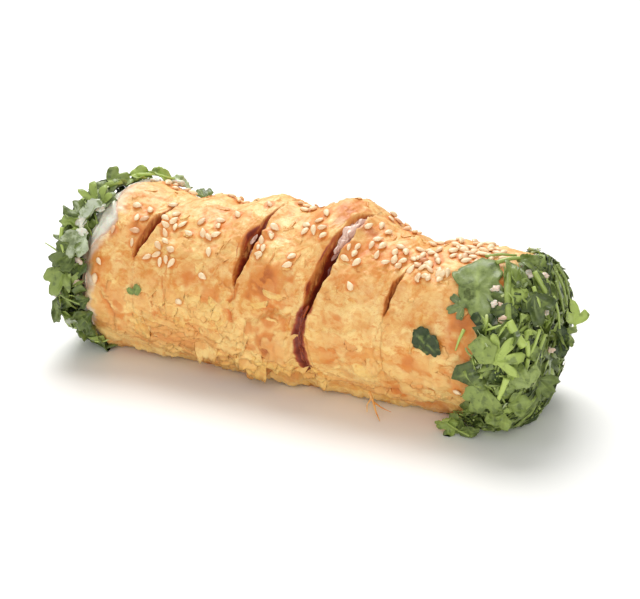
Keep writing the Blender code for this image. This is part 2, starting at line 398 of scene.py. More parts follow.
def block_shape(x, phi, flat):
    """The raised block of dough below the third pillow: its lift, the crack round it (also darkened as
    painted shade), and its share.
    """
    left = (x - np.interp(phi, (88, 145), (-10 * MM, -14.5 * MM))) / MM + 2.2 * grain(flat, 5 * MM, 41)
    right = (4.2 * MM - x) / MM + 1.0 * grain(flat, 4 * MM, 42)
    top_phi = np.interp(x, (-9.5 * MM, -3 * MM, 5.6 * MM), (92, 80, 76))
    top = (phi - top_phi) * 0.43 + 2.0 * grain(flat, 5 * MM, 43) + 0.7 * grain(flat, 1.8 * MM, 44)
    inside = np.minimum(np.minimum(left, right), top)
    bottom = ease(150, 138, phi)
    share = ease(0.0, 0.9, inside) * bottom
    crack = np.exp(-(((inside + 0.2) / 0.45) ** 2)) * bottom * (phi > 60)
    crack = crack * ease(-0.3, 0.2, grain(flat, 4 * MM, 45))
    above = ease(0, -5, top) * np.exp(top / 5) * (left > 0) * (right > -2) * (phi > 40)
    return (1.1 * share - 0.7 * crack + 0.5 * above) * MM, crack, share


def crust_relief(x, phi):
    """The baked surface above or below the plain skin, its fine share, its raised flakes and its cracks. The
    fine share and the cracks are also where highlight and shade are painted.
    """
    flat = on_roll(x, phi)
    fade = ease(0, 25, 180 - np.abs(phi))
    around = CRUST_RADIUS * np.radians(phi)
    low = ease(70, 105, np.abs(phi))
    puffs = 0.50 * grain(flat, 10 * MM, 1) + 0.36 * grain(flat, 5 * MM, 2)
    warp = grain(flat, 5 * MM, 3) * 0.9 * MM
    streaked = np.stack((x + 0.28 * around + warp, around * 0.3 + warp, 0 * x), axis=1)
    streaks = 1 - 2.2 * np.abs(grain(streaked, 1.7 * MM, 4))
    wrinkles = 1 - 2.2 * np.abs(grain(flat + warp[:, None], 1.8 * MM, 5))
    blisters = np.maximum(grain(flat, 2.4 * MM, 6) - 0.15, 0)
    pores = grain(flat, 0.9 * MM, 7)
    torn = grain(flat, 8 * MM, 8) + 0.4 * grain(flat, 2.8 * MM, 9) + 0.12 * grain(flat, 1.0 * MM, 14)
    edge = 0.34 - 0.3 * low
    flakes = ease(edge, edge + 0.05, torn) + ease(edge + 0.3, edge + 0.35, torn)
    fine = 0.18 * streaks + 0.08 * wrinkles + 0.3 * blisters + 0.05 * pores + (0.22 + 0.2 * low) * flakes
    lift = (puffs - 0.1 + fine * fade) * MM
    crack = np.zeros(len(x))
    wander = grain(flat, 2.5 * MM, 19) * 0.5 * MM
    for crease in CREASES:
        moved, valley = crease_shape(x, phi, crease, wander)
        lift = lift + moved
        crack = np.maximum(crack, valley * (0.2 * MM < crease[2] < 1 * MM))
    sheets, gaps = sheet_shape(x, phi, flat)
    block, block_crack, _ = block_shape(x, phi, flat)
    crack = np.maximum(crack, np.maximum(gaps * 0.9, block_crack * 0.6))
    return lift + sheets + block, fine, flakes, crack


def slash_place(slash, phi):
    """Where a slash's middle is at phi, how far open it is, and how deep, each 0 to 1."""
    upper_x, upper_phi, lower_x, lower_phi = slash[:4]
    middle = (upper_x + lower_x) / 2
    centre = np.interp(phi, (-180, upper_phi, lower_phi, 180), (middle, upper_x, lower_x, middle))
    share = np.clip((phi - upper_phi) / (lower_phi - upper_phi), 0, 1)
    deep = SLIT_DEPTH + (1 - SLIT_DEPTH) * ease(slash.deep_from - 0.12, slash.deep_from + 0.12, share)
    wide = SLIT_WIDTH + (1 - SLIT_WIDTH) * (deep - SLIT_DEPTH) / (1 - SLIT_DEPTH)
    opening = np.sin(np.pi * share) ** 0.7 * wide
    centre = centre + opening * 0.55 * MM * line_grain(phi + upper_x / MM, 14, 30)
    return centre, opening, deep * opening**0.5


def crust_point(x, phi, lift=0.0):
    """Points on the baked surface, or lift above it, away from the slashes."""
    x, phi = np.atleast_1d(x).astype(float), np.atleast_1d(phi).astype(float)
    return on_roll(x, phi, crust_relief(x, phi)[0] + lift)


def by_side(values, phi):
    """A measure that changes smoothly with phi, from its values in mm on four sides of the roll."""
    near, top, far, bottom = values
    across, up = np.sin(np.radians(phi)), np.cos(np.radians(phi))
    return MM * (np.where(across > 0, near, far) * across**2 + np.where(up > 0, top, bottom) * up**2)


def coat_point(end, share, phi, sink=0.0, grown=0.0):
    """Points on an end's coat of herbs, sink below its outline, from its edge (share 0) to the middle (1)."""
    side, lap, depth, face, roundness = ENDS[end]
    along = np.clip(share / COAT_TURN, 0, 1)
    quarter = np.clip((share - COAT_TURN) / (1 - COAT_TURN), 0, 1) * np.pi / 2
    x = side * (HALF_LENGTH - (by_side(lap, phi) + grown) * (1 - along) + (face - sink) * np.sin(quarter))
    proud = by_side(depth, phi) * (COAT_EDGE + (1 - COAT_EDGE) * along) - sink
    draw_in = np.maximum(np.cos(quarter), 0) ** roundness
    return on_roll(x, phi, proud, draw_in)


# ------------------------------------------------------------------ mesh helpers


SEAM_GAP = 1e-6  # vertices nearer than this are merged


def mesh_from(bm, name):
    """A new mesh of what bm holds, which is freed."""
    mesh = bpy.data.meshes.new(name)
    bm.to_mesh(mesh)
    bm.free()
    return mesh


def sheet_mesh(name, columns, rows, closed=False):
    """A flat sheet of faces, and each vertex's column and row; if closed, a double one, and its layer too."""
    bm = bmesh.new()
    bmesh.ops.create_grid(bm, x_segments=columns, y_segments=rows, size=0.5)
    if closed:
        bmesh.ops.solidify(bm, geom=bm.faces[:], thickness=1)
    mesh = mesh_from(bm, name)
    places = vertex_places(mesh)
    low, high = places.min(axis=0), places.max(axis=0)
    shares = (places - low)[:, :2] / (high - low)[:2]
    column = np.rint(shares[:, 0] * columns).astype(int)
    row = np.rint(shares[:, 1] * rows).astype(int)
    return (mesh, column, row, np.rint(np.abs(places[:, 2]))) if closed else (mesh, column, row)


def vertex_places(mesh):
    """Every vertex's place, a row each."""
    flat = np.empty(len(mesh.vertices) * 3)
    mesh.vertices.foreach_get("co", flat)
    return flat.reshape(-1, 3)


def move_vertices(mesh, places):
    """Puts every vertex at its row of places."""
    mesh.vertices.foreach_set("co", np.ascontiguousarray(places, dtype=np.float32).ravel())
    mesh.update()


def paint(mesh, name, values):
    """Keeps a number for each vertex under a name that the materials read."""
    layer = mesh.attributes.get(name) or mesh.attributes.new(name, "FLOAT", "POINT")
    layer.data.foreach_set("value", np.broadcast_to(values, len(mesh.vertices)).astype(np.float32))


def close_seams(mesh, capped=False):
    """Merges seams and poles, closes a cap's loop inside the crust, and turns every face outwards."""
    bm = bmesh.new()
    bm.from_mesh(mesh)
    bmesh.ops.remove_doubles(bm, verts=bm.verts, dist=SEAM_GAP)
    if capped:
        bmesh.ops.holes_fill(bm, edges=[edge for edge in bm.edges if edge.is_boundary])
    bm.normal_update()
    bmesh.ops.recalc_face_normals(bm, faces=bm.faces)
    bm.to_mesh(mesh)
    bm.free()


def add_piece(name, mesh, material, replaced=()):
    """Shows a mesh as a piece of the roll."""
    piece = bpy.data.objects.new(name, mesh)
    bpy.context.scene.collection.objects.link(piece)
    mesh.materials.clear()
    mesh.materials.append(material)
    mesh.shade_smooth()
    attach(piece, "root")
    if replaced:
        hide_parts(*replaced)
    return piece


class Heap:
    """Many small copies of templates, joined into one mesh."""

    def __init__(self):
        self.bm = bmesh.new()

    def add(self, template, places, shade, cream=0.0):
        """Adds a copy of a template with its vertices at places."""
        copy = template.copy()
        move_vertices(copy, places)
        paint(copy, "shade", shade)
        paint(copy, "cream", cream)
        self.bm.from_mesh(copy)
        bpy.data.meshes.remove(copy)

    def finish(self, name):
        """The joined mesh, its faces turned outwards."""
        self.bm.normal_update()
        bmesh.ops.recalc_face_normals(self.bm, faces=self.bm.faces)
        return mesh_from(self.bm, name)

    def show(self, name, material, slot):
        """Shows the joined mesh as a piece of the roll."""
        add_piece(name, self.finish(name), material)


def placed(template, matrix, size=1.0, stretch=(1, 1, 1)):
    """A template's vertex places, scaled and then moved by a matrix."""
    turn = np.array(matrix.to_3x3())
    return (vertex_places(template) * size * np.array(stretch)) @ turn.T + np.array(matrix.translation)


def laid_on_roll(places, x, phi, yaw, surface=crust_point):
    """Bends flat places (along, across, height) onto the crust at x and phi, turned by yaw degrees."""
    turn = math.radians(yaw)
    along = places[:, 0] * math.cos(turn) - places[:, 1] * math.sin(turn)
    around = places[:, 0] * math.sin(turn) + places[:, 1] * math.cos(turn)
    return surface(x + along, phi + np.degrees(around / CRUST_RADIUS), places[:, 2])


def facing(point, outward, yaw, tilt=0.0, lean=0.0):
    """A matrix that stands local Z along outward at point, after a yaw, a tilt and a lean in radians."""
    turn = Vector(outward).to_track_quat("Z", "Y").to_matrix().to_4x4()
    spin = Matrix.Rotation(yaw, 4, "Z") @ Matrix.Rotation(tilt, 4, "X") @ Matrix.Rotation(lean, 4, "Y")
    return Matrix.Translation(Vector(point)) @ turn @ spin


def headed(point, outward, heading):
    """A matrix with local Z along outward and local X as near as can be to heading degrees above +X."""
    up = Vector(outward).normalized()
    angle = math.radians(heading)
    wish = Vector((math.cos(angle), 0, math.sin(angle)))
    ahead = (wish - up * wish.dot(up)).normalized()
    turn = Matrix((ahead, up.cross(ahead), up)).transposed().to_4x4()
    return Matrix.Translation(Vector(point)) @ turn


def surface_frame(surface, point_at, step_a, step_b, middle):
    """The point that surface(*point_at) gives, and its normal, pointing away from middle."""
    a, b = point_at
    here, along, across = (
        surface(np.array([a + i * step_a]), np.array([b + j * step_b]))[0]
        for i, j in ((0, 0), (1, 0), (0, 1))
    )
    normal = np.cross(along - here, across - here)
    if np.dot(normal, here - np.array(middle)) < 0:
        normal = -normal
    return here, normal / (np.linalg.norm(normal) + 1e-12)


# ------------------------------------------------------------------ finishes


class Finish:
    """A material being made. Most methods add a node, join it up and return its output."""

    def __init__(self, name, **constants):
        self.material = bpy.data.materials.new(name)
        self.material.use_nodes = True
        self.tree = self.material.node_tree
        self.shader = self.tree.nodes["Principled BSDF"]
        for label, value in constants.items():
            self.shader.inputs[label.replace("_", " ").title()].default_value = value
        self.places = self.tree.nodes.new("ShaderNodeTexCoord").outputs["Object"]

    def set(self, socket, value):
        if isinstance(value, bpy.types.NodeSocket):
            self.tree.links.new(value, socket)
        elif hasattr(value, "__len__") and len(value) == 3 and len(socket.default_value) == 4:
            socket.default_value = (*value, 1)
        else:
            socket.default_value = value

    def attribute(self, name):
        node = self.tree.nodes.new("ShaderNodeAttribute")
        node.attribute_name = name
        return node.outputs["Fac"]

    def noise(self, size, detail=3.0, roughness=0.55, stretch=(1, 1, 1), distortion=0.0):
        mapping = self.tree.nodes.new("ShaderNodeMapping")
        mapping.inputs["Scale"].default_value = stretch
        self.tree.links.new(self.places, mapping.inputs["Vector"])
        node = self.tree.nodes.new("ShaderNodeTexNoise")
        self.tree.links.new(mapping.outputs["Vector"], node.inputs["Vector"])
        for label, value in (
            ("Scale", 1 / size), ("Detail", detail), ("Roughness", roughness), ("Distortion", distortion)
        ):
            node.inputs[label].default_value = value
        return node.outputs["Fac"]

    def spread(self, value, low, high, to_low=0.0, to_high=1.0):
        node = self.tree.nodes.new("ShaderNodeMapRange")
        node.interpolation_type = "SMOOTHSTEP"
        for label, number in zip(("Value", "From Min", "From Max", "To Min", "To Max"),
                                 (value, low, high, to_low, to_high)):
            self.set(node.inputs[label], number)
        return node.outputs["Result"]

    def math(self, operation, first, second=0.0):
        node = self.tree.nodes.new("ShaderNodeMath")
        node.operation = operation
        self.set(node.inputs[0], first)
        self.set(node.inputs[1], second)
        return node.outputs[0]

    def times(self, first, second):
        return self.math("MULTIPLY", first, second)

    def mix(self, share, low, high):
        node = self.tree.nodes.new("ShaderNodeMix")
        node.data_type = "RGBA"
        node.blend_type = "MIX"
        self.set(node.inputs[0], share)
        self.set(node.inputs[6], low)
        self.set(node.inputs[7], high)
        return node.outputs[2]

    def threads(self, value, width=0.03):
        """1 along thin winding lines of a noise, and 0 between them."""
        return self.spread(self.math("ABSOLUTE", self.math("SUBTRACT", value, 0.5)), width, 0.0)

    def scales(self, size, stretch=(1, 1, 1)):
        """Ragged flakes: a random number for each, and how near its edge is, 0 at the edge."""
        warp = self.tree.nodes.new("ShaderNodeTexNoise")
        self.tree.links.new(self.places, warp.inputs["Vector"])
        warp.inputs["Scale"].default_value = 1.4 / size
        warp.inputs["Detail"].default_value = 4
        bent = self.tree.nodes.new("ShaderNodeVectorMath")
        bent.operation = "MULTIPLY_ADD"
        self.tree.links.new(warp.outputs["Color"], bent.inputs[0])
        bent.inputs[1].default_value = (size, size, size)
        self.tree.links.new(self.places, bent.inputs[2])
        mapping = self.tree.nodes.new("ShaderNodeMapping")
        mapping.inputs["Scale"].default_value = stretch
        self.tree.links.new(bent.outputs["Vector"], mapping.inputs["Vector"])
        found = []
        for feature, label in (("F1", "Color"), ("DISTANCE_TO_EDGE", "Distance")):
            cells = self.tree.nodes.new("ShaderNodeTexVoronoi")
            cells.feature = feature
            cells.inputs["Scale"].default_value = 1 / size
            self.tree.links.new(mapping.outputs["Vector"], cells.inputs["Vector"])
            found.append(cells.outputs[label])
        return found

    def bump(self, height, distance, strength=1.0, under=None):
        node = self.tree.nodes.new("ShaderNodeBump")
        node.inputs["Strength"].default_value = strength
        node.inputs["Distance"].default_value = distance
        self.set(node.inputs["Height"], height)
        if under:
            self.set(node.inputs["Normal"], under)
        return node.outputs["Normal"]

    def done(self, colour, roughness=None, normal=None):
        self.set(self.shader.inputs["Base Color"], colour)
        if roughness is not None:
            self.set(self.shader.inputs["Roughness"], roughness)
        if normal is not None:
            self.set(self.shader.inputs["Normal"], normal)
        return self.material


def pastry_finish(name="baked_pastry"):
    """Egg-washed puff pastry: pale and tan flakes, golden, toasted, soaked and layered places, with painted
    highlight on raised fine relief, painted shade in its hollows, cracks and round the seeds, and painted
    bounce light on the lower sides.
    """
    colours = bpy.context.scene.roll_colours
    finish = Finish(name, coat_weight=0.1, coat_roughness=0.35)
    blotch = finish.noise(5 * MM, 5, 0.62, distortion=0.8)
    mottle = finish.noise(1.5 * MM, 5, 0.65, (0.6, 1, 1), 0.8)
    web = finish.noise(2.2 * MM, 5, 0.6, (0.7, 1, 1), 1.2)
    speck = finish.noise(0.5 * MM, 3, 0.6)
    fine = finish.attribute("fine")
    toast_and_shade = finish.attribute("toast_and_shade")
    flake, flake_edge = finish.scales(7 * MM, (0.45, 1, 1))
    chip, chip_edge = finish.scales(3.2 * MM, (0.6, 1, 1))
    # Golden flakes, and painted bounce light: brighter and yellower on the roll's lower sides.
    gold_and_bounce_light = finish.attribute("gold_and_bounce_light")
    flaky = finish.spread(gold_and_bounce_light, 0.0, 0.6, 0.4, 1.0)
    colour = finish.mix(finish.spread(blotch, 0.38, 0.62), colours.crust_tan, colours.crust_pale)
    golden = finish.times(gold_and_bounce_light, finish.spread(mottle, 0.3, 0.6, 0.3, 0.95))
    colour = finish.mix(golden, colour, colours.crust_gold)
    colour = finish.mix(finish.spread(blotch, 0.47, 0.4, 0, 0.35), colour, colours.crust_orange)
    for cell, edge, share in ((flake, flake_edge, 0.6), (chip, chip_edge, 0.3)):
        pale = finish.times(finish.spread(cell, 0.56, 0.6, 0, share), flaky)
        colour = finish.mix(pale, colour, colours.crust_pale)
        dark = finish.times(finish.spread(cell, 0.42, 0.38, 0, share), flaky)
        colour = finish.mix(dark, colour, colours.crust_orange)
        rim = finish.times(finish.spread(edge, 0.06, 0.0), finish.spread(mottle, 0.48, 0.62, 0, share))
        colour = finish.mix(rim, colour, colours.crust_orange)
    # Painted highlight: raised fine relief is paler.
    colour = finish.mix(finish.spread(fine, 0.15, 0.6, 0, 0.45), colour, colours.crust_pale)
    colour = finish.mix(finish.spread(mottle, 0.52, 0.66, 0, 0.4), colour, colours.crust_orange)
    colour = finish.mix(finish.times(finish.threads(web, 0.022), 0.42), colour, colours.crust_orange)
    # Painted shade: the hollows of the fine relief are darker orange.
    colour = finish.mix(finish.spread(fine, -0.02, -0.35, 0, 0.6), colour, colours.crust_orange)
    # Browner where toasted, and where shade is painted in cracks and round the seeds.
    colour = finish.mix(finish.spread(toast_and_shade, 0.05, 0.6, 0, 0.85), colour, colours.crust_orange)
    deep = finish.times(finish.spread(toast_and_shade, 0.5, 1.0), finish.spread(mottle, 0.25, 0.6, 0.35, 0.9))
    colour = finish.mix(deep, colour, colours.crust_brown)
    layers = finish.times(finish.attribute("layers"), 0.85)
    lines = finish.noise(0.9 * MM, 3, 0.6, (1.5, 0.2, 0.2))
    torn = finish.mix(finish.spread(lines, 0.42, 0.6), tone(126, 58, 22), tone(224, 158, 92))
    colour = finish.mix(layers, colour, torn)
    milky = finish.times(finish.attribute("milk"), finish.spread(blotch, 0.35, 0.6, 0.45, 1.0))
    colour = finish.mix(milky, colour, colours.crust_milky)
    # Painted bounce light: a pale yellow lift low on the roll, as if lit from below, and on the flakes.
    colour = finish.mix(finish.spread(gold_and_bounce_light, 0.35, 1.0, 0, 0.3), colour, tone(255, 222, 140))
    soak = finish.attribute("soak")
    damp = finish.mix(finish.spread(soak, 0.0, 0.5), colour, tone(168, 72, 30))
    colour = finish.mix(finish.spread(soak, 0.4, 0.95), damp, colours.sauce)
    shine = finish.spread(mottle, 0.3, 0.7, 0.4, 0.62)
    relief = finish.bump(flake, 0.5 * MM, 0.35)
    relief = finish.bump(chip, 0.2 * MM, 0.2, relief)
    relief = finish.bump(mottle, 0.3 * MM, 0.35, relief)
    relief = finish.bump(speck, 0.12 * MM, 0.35, relief)
    return finish.done(colour, shine, relief)


def filling_finish():
    """Chicken in a dark, glossy sauce."""
    colours = bpy.context.scene.roll_colours
    finish = Finish("saucy_filling", coat_weight=0.5, coat_roughness=0.12, roughness=0.3)
    shred = finish.noise(1.6 * MM, 4, 0.6, (1, 0.4, 0.4), 1.0)
    colour = finish.mix(finish.spread(shred, 0.4, 0.62), colours.sauce, colours.filling)
    return finish.done(colour, None, finish.bump(shred, 0.6 * MM, 0.7))


def meat_finish():
    """Pale shreds of meat with sauce on them."""
    colours = bpy.context.scene.roll_colours
    finish = Finish("shredded_meat", coat_weight=0.4, coat_roughness=0.15, roughness=0.38)
    strand = finish.noise(0.8 * MM, 4, 0.6, (1, 0.3, 0.3))
    colour = finish.mix(finish.spread(strand, 0.45, 0.7, 0, 0.7), colours.meat, colours.filling)
    colour = finish.mix(finish.attribute("shade"), colour, colours.sauce)
    return finish.done(colour, None, finish.bump(strand, 0.4 * MM, 0.6))


def sauce_finish():
    """Thin dark sauce that has run over the crust and dried at its edges."""
    colours = bpy.context.scene.roll_colours
    finish = Finish("run_sauce", coat_weight=0.1, coat_roughness=0.3)
    cloud = finish.noise(1.8 * MM, 4, 0.6)
    colour = finish.mix(finish.spread(cloud, 0.4, 0.75, 0, 0.6), colours.sauce, tone(162, 64, 24))
    colour = finish.mix(finish.attribute("shade"), colour, tone(186, 92, 38))
    return finish.done(colour, finish.spread(cloud, 0.3, 0.7, 0.3, 0.5), finish.bump(cloud, 0.1 * MM, 0.3))


def cream_finish():
    """White cream sauce, thin and grey where the crust shows through, with green specks."""
    colours = bpy.context.scene.roll_colours
    finish = Finish("cream_sauce", coat_weight=0.3, coat_roughness=0.2, subsurface_weight=0.15,
                    subsurface_scale=1.5 * MM)
    cloud = finish.noise(3 * MM, 4, 0.6)
    speck = finish.noise(0.9 * MM, 2, 0.5)
    colour = finish.mix(finish.spread(cloud, 0.4, 0.7, 0, 0.6), colours.cream, tone(206, 198, 182))
    colour = finish.mix(finish.attribute("shade"), colour, tone(214, 172, 142))
    colour = finish.mix(finish.spread(speck, 0.7, 0.76, 0, 0.6), colour, colours.leaf_light)
    return finish.done(colour, finish.spread(cloud, 0.3, 0.7, 0.3, 0.5), finish.bump(cloud, 0.5 * MM, 0.6))


def seed_finish():
    """Hulled sesame: ivory, some more toasted than others."""
    colours = bpy.context.scene.roll_colours
    finish = Finish("sesame", coat_weight=0.2, coat_roughness=0.3, roughness=0.42)
    cloud = finish.noise(1.2 * MM, 3, 0.5)
    colour = finish.mix(finish.spread(cloud, 0.4, 0.7, 0, 0.5), colours.seed, tone(238, 192, 134))
    colour = finish.mix(finish.attribute("shade"), colour, tone(200, 118, 58))
    return finish.done(colour, None, finish.bump(cloud, 0.1 * MM, 0.4))


def leaf_finish(name):
    """Parsley leaves: dark to light green, with paler veins and some cream on a few."""
    colours = bpy.context.scene.roll_colours
    finish = Finish(name, coat_weight=0.06, coat_roughness=0.35)
    cloud = finish.noise(2.6 * MM, 4, 0.6)
    fine = finish.noise(0.7 * MM, 3, 0.6)
    colour = finish.mix(finish.attribute("shade"), colours.leaf_dark, colours.leaf_light)
    colour = finish.mix(finish.spread(cloud, 0.52, 0.66, 0, 0.22), colour, colours.leaf_light)
    colour = finish.mix(finish.spread(cloud, 0.48, 0.36, 0, 0.5), colour, colours.leaf_dark)
    colour = finish.mix(finish.times(finish.attribute("vein"), 0.35), colour, colours.stem)
    whitened = finish.times(finish.attribute("cream"), finish.spread(cloud, 0.38, 0.58, 0.2, 1.0))
    colour = finish.mix(whitened, colour, tone(204, 212, 188))
    shine = finish.spread(cloud, 0.3, 0.7, 0.36, 0.55)
    return finish.done(colour, shine, finish.bump(fine, 0.14 * MM, 0.6))


def stem_finish():
    """Cut parsley stems, light green and moist."""
    colours = bpy.context.scene.roll_colours
    finish = Finish("parsley_stem", coat_weight=0.15, coat_roughness=0.2, roughness=0.38)
    streak = finish.noise(1.0 * MM, 3, 0.6)
    colour = finish.mix(finish.attribute("shade"), colours.stem, colours.leaf_dark)
    colour = finish.mix(finish.spread(streak, 0.4, 0.7, 0, 0.4), colour, colours.leaf_light)
    colour = finish.mix(finish.attribute("vein"), colour, tone(206, 214, 146))
    return finish.done(colour, None, finish.bump(streak, 0.15 * MM, 0.4))


def herb_core_finish():
    """What shows deep between the leaves: more leaves, in shadow."""
    colours = bpy.context.scene.roll_colours
    finish = Finish("packed_parsley", roughness=0.6)
    chop = finish.noise(2.0 * MM, 5, 0.65, distortion=1.2)
    colour = finish.mix(finish.spread(chop, 0.35, 0.65), tone(28, 38, 14), colours.leaf_dark)
    colour = finish.mix(finish.spread(chop, 0.66, 0.74, 0, 0.6), colour, tone(96, 118, 52))
    return finish.done(colour, None, finish.bump(chop, 1.2 * MM, 0.9))


# ------------------------------------------------------------------ the crust

# A slash's strip of columns, from the side of falling x: slope, floor, wall and shoulder
SLOPE_COLUMNS, FLOOR_COLUMNS, WALL_COLUMNS, SHOULDER_COLUMNS = 24, 4, 8, 10
SLOPE, FLOOR, WALL, SHOULDER = range(1, 5)
TURN_IN = 7  # columns that turn in over each end
RIM_INSET = 0.3 * MM  # how far inside the end they start


def crust_columns(gap_columns):
    """Each column's part (0 for a gap), the slash or gap it belongs to, and its share of that part."""
    middles = [-HALF_LENGTH] + [(s.upper_x + s.lower_x) / 2 for s in SLASHES] + [HALF_LENGTH]
    rooms = np.diff(middles)
    counts = np.maximum(np.rint(gap_columns * rooms / rooms.sum()).astype(int), 6)
    parts, owners, shares = [], [], []
    for owner, count in enumerate(counts):
        strips = [(0, count, (np.arange(count) + 1) / (count + 1))]
        if owner < len(SLASHES):
            for part, length in zip((SLOPE, FLOOR, WALL, SHOULDER),
                                    (SLOPE_COLUMNS, FLOOR_COLUMNS, WALL_COLUMNS, SHOULDER_COLUMNS)):
                strips.append((part, length, np.linspace(0, 1, length, endpoint=part == SHOULDER)))
        for part, length, share in strips:
            parts += [part] * length
            owners += [owner] * length
            shares += list(share)
    return np.array(parts), np.array(owners), np.array(shares)


def crust_rows(rows):
    """phi of each row, closer together where the roll is seen from above and in front."""
    share = np.linspace(0, 1, 721)
    phi = -180 + 360 * share
    wish = 1 + 2.0 * bell(angle_between(phi, 52) / 118)
    reached = np.concatenate(([0], np.cumsum((wish[1:] + wish[:-1]) / 2)))
    return np.interp(np.linspace(0, 1, rows + 1), reached / reached[-1], phi)


def slash_section(part, share, phi, owner):
    """Across a slash: the offset from its middle, the depth, how far down its side, and its lip."""
    slashes = [slash_place(slash, phi) for slash in SLASHES]
    each = np.arange(len(phi))
    centre, opening, deep = (np.stack(values)[owner, each] for values in zip(*slashes))
    width, slope, depth = np.array([(s.width, s.slope, s.depth) for s in SLASHES])[owner].T
    ragged = 1 + 0.22 * line_grain(phi + owner * 77, 9, 31) + 0.12 * line_grain(phi + owner * 77, 3, 32)
    width = np.maximum(width * opening * ragged, 0.1 * MM)
    slope = np.maximum(slope * opening * (0.8 + 0.35 * line_grain(phi + owner * 31, 16, 33)), 0.3 * MM)
    slope = np.minimum(slope, SLASH_BAND - 0.25 * width)
    depth = depth * deep
    offset = np.select(
        [part == SLOPE, part == FLOOR, part == WALL, part == SHOULDER],
        [
            -SLASH_BAND + (SLASH_BAND - 0.25 * width) * share,
            width * (-0.25 + 0.8 * share),
            width * (0.55 - 0.2 * share - 0.1 * np.sin(np.pi * share)),
            0.35 * width + (SLASH_BAND - 0.35 * width) * share,
        ],
        0,
    )
    down_slope = np.clip((offset + slope + 0.25 * width) / slope, 0, 1)
    down = np.select(
        [part == SLOPE, part == FLOOR, part == WALL, part == SHOULDER],
        [0.25 * ease(0, 1, down_slope) * down_slope + 0.75 * down_slope**3.2, 1, 1 - share**1.5, 0],
        0,
    )
    lip = np.where(part == SHOULDER, np.exp(-((share * SLASH_BAND / (2.2 * MM)) ** 2)), 0)
    lip = np.where(part == WALL, share**2, lip) * opening
    return centre, offset, depth * down, down, down_slope * (part == SLOPE), opening * (part > 0), lip


def shape_crust(column, row, parts, owners, shares, phis):
    """Every crust vertex's place and its painted measures."""
    last = len(parts) + 2 * TURN_IN - 1
    inner = np.clip(column - TURN_IN, 0, len(parts) - 1)
    part, owner, share = parts[inner], owners[inner], shares[inner]
    phi = phis[row]
    each = np.arange(len(phi))
    centres = [slash_place(s, phi)[0] for s in SLASHES]
    edge = np.full(len(phi), HALF_LENGTH - RIM_INSET)
    left = np.stack([-edge] + [c + SLASH_BAND for c in centres])[owner, each]
    right = np.stack([c - SLASH_BAND for c in centres] + [edge])[owner, each]
    slash = np.minimum(owner, len(SLASHES) - 1)
    centre, offset, depth, down, slope, opening, lip = slash_section(part, share, phi, slash)
    x = np.where(part == 0, left + (right - left) * share, centre + offset)
    around = CRUST_RADIUS * np.radians(phi)
    strata = np.stack((around * 0.14, down * 5 * MM, slash * 9 * MM), axis=1)
    layered = grain(strata, 0.8 * MM, 11) * 0.5 * MM * bell((down - 0.5) / 0.55) * (part > 0)
    crumbly = grain(np.stack((around, depth, x), axis=1), 1.5 * MM, 12) * 0.35 * MM * bell((down - 0.5) / 0.6)
    x = x + (layered + crumbly) * opening * np.where(part == SLOPE, 0.6, 1)
    relief, fine, flakes, crack = crust_relief(x, phi)
    lip = lip * LIP_RISE * (1 + 0.9 * grain(on_roll(x, phi), 2.6 * MM, 13))
    lift = relief * (1 - 0.8 * down) + lip - depth - layered * 0.8 * opening
    turned = np.where(column < TURN_IN, TURN_IN - column, np.maximum(column - (last - TURN_IN), 0))
    end = np.where(column < TURN_IN, -1, 1)
    curl = np.clip(turned / (TURN_IN - 3), 0, 1) * np.pi / 2
    at_end = turned > 0
    rim = 1.6 * MM * (1 + 0.3 * grain(on_roll(x, phi), 4 * MM, 15))
    x = np.where(at_end, end * (HALF_LENGTH - RIM_INSET + RIM_INSET * np.sin(curl)), x)
    lift = np.where(at_end, relief - rim * (1 - np.cos(curl)), lift)
    inward = turned - (TURN_IN - 3)
    x = np.where(inward == 1, end * (HALF_LENGTH - 0.6 * MM), x)
    lift = np.where(inward == 1, -CRUST_WALL, lift)
    x = np.where(inward >= 2, end * (HALF_LENGTH - 2 * MM), x)
    lift = np.where(inward == 2, -CRUST_WALL - 1 * MM, lift)
    spots = on_roll(x, phi, lift)
    middle = inward == 3
    spots[middle] = np.stack((end * (HALF_LENGTH - 2 * MM), 0 * x, 0 * x + AXIS_HEIGHT), axis=1)[middle]
    painted = paint_crust(spots, x, phi, fine, flakes, crack, down, slope, opening, part, slash)
    painted["toast_and_shade"] = np.where(at_end, np.maximum(painted["toast_and_shade"], 0.7), painted["toast_and_shade"])
    painted["soak"] = np.where(inward >= 2, 0.9, painted["soak"])
    return spots, painted


# How far a thin wash of cream reaches over the crust from its left end: phi and mm
MILK_REACH = ((-180, 1), (-100, 3), (-60, 16), (-10, 9), (40, 10), (58, 5), (110, 3.5), (180, 1))


def drip_middle(phi):
    """x of the middle of the sauce that has run down from the third slash."""
    return np.interp(phi, (72, 80, 93, 110, 132), (9.9, 8.2, 7.3, 7.7, 9.2)) * MM


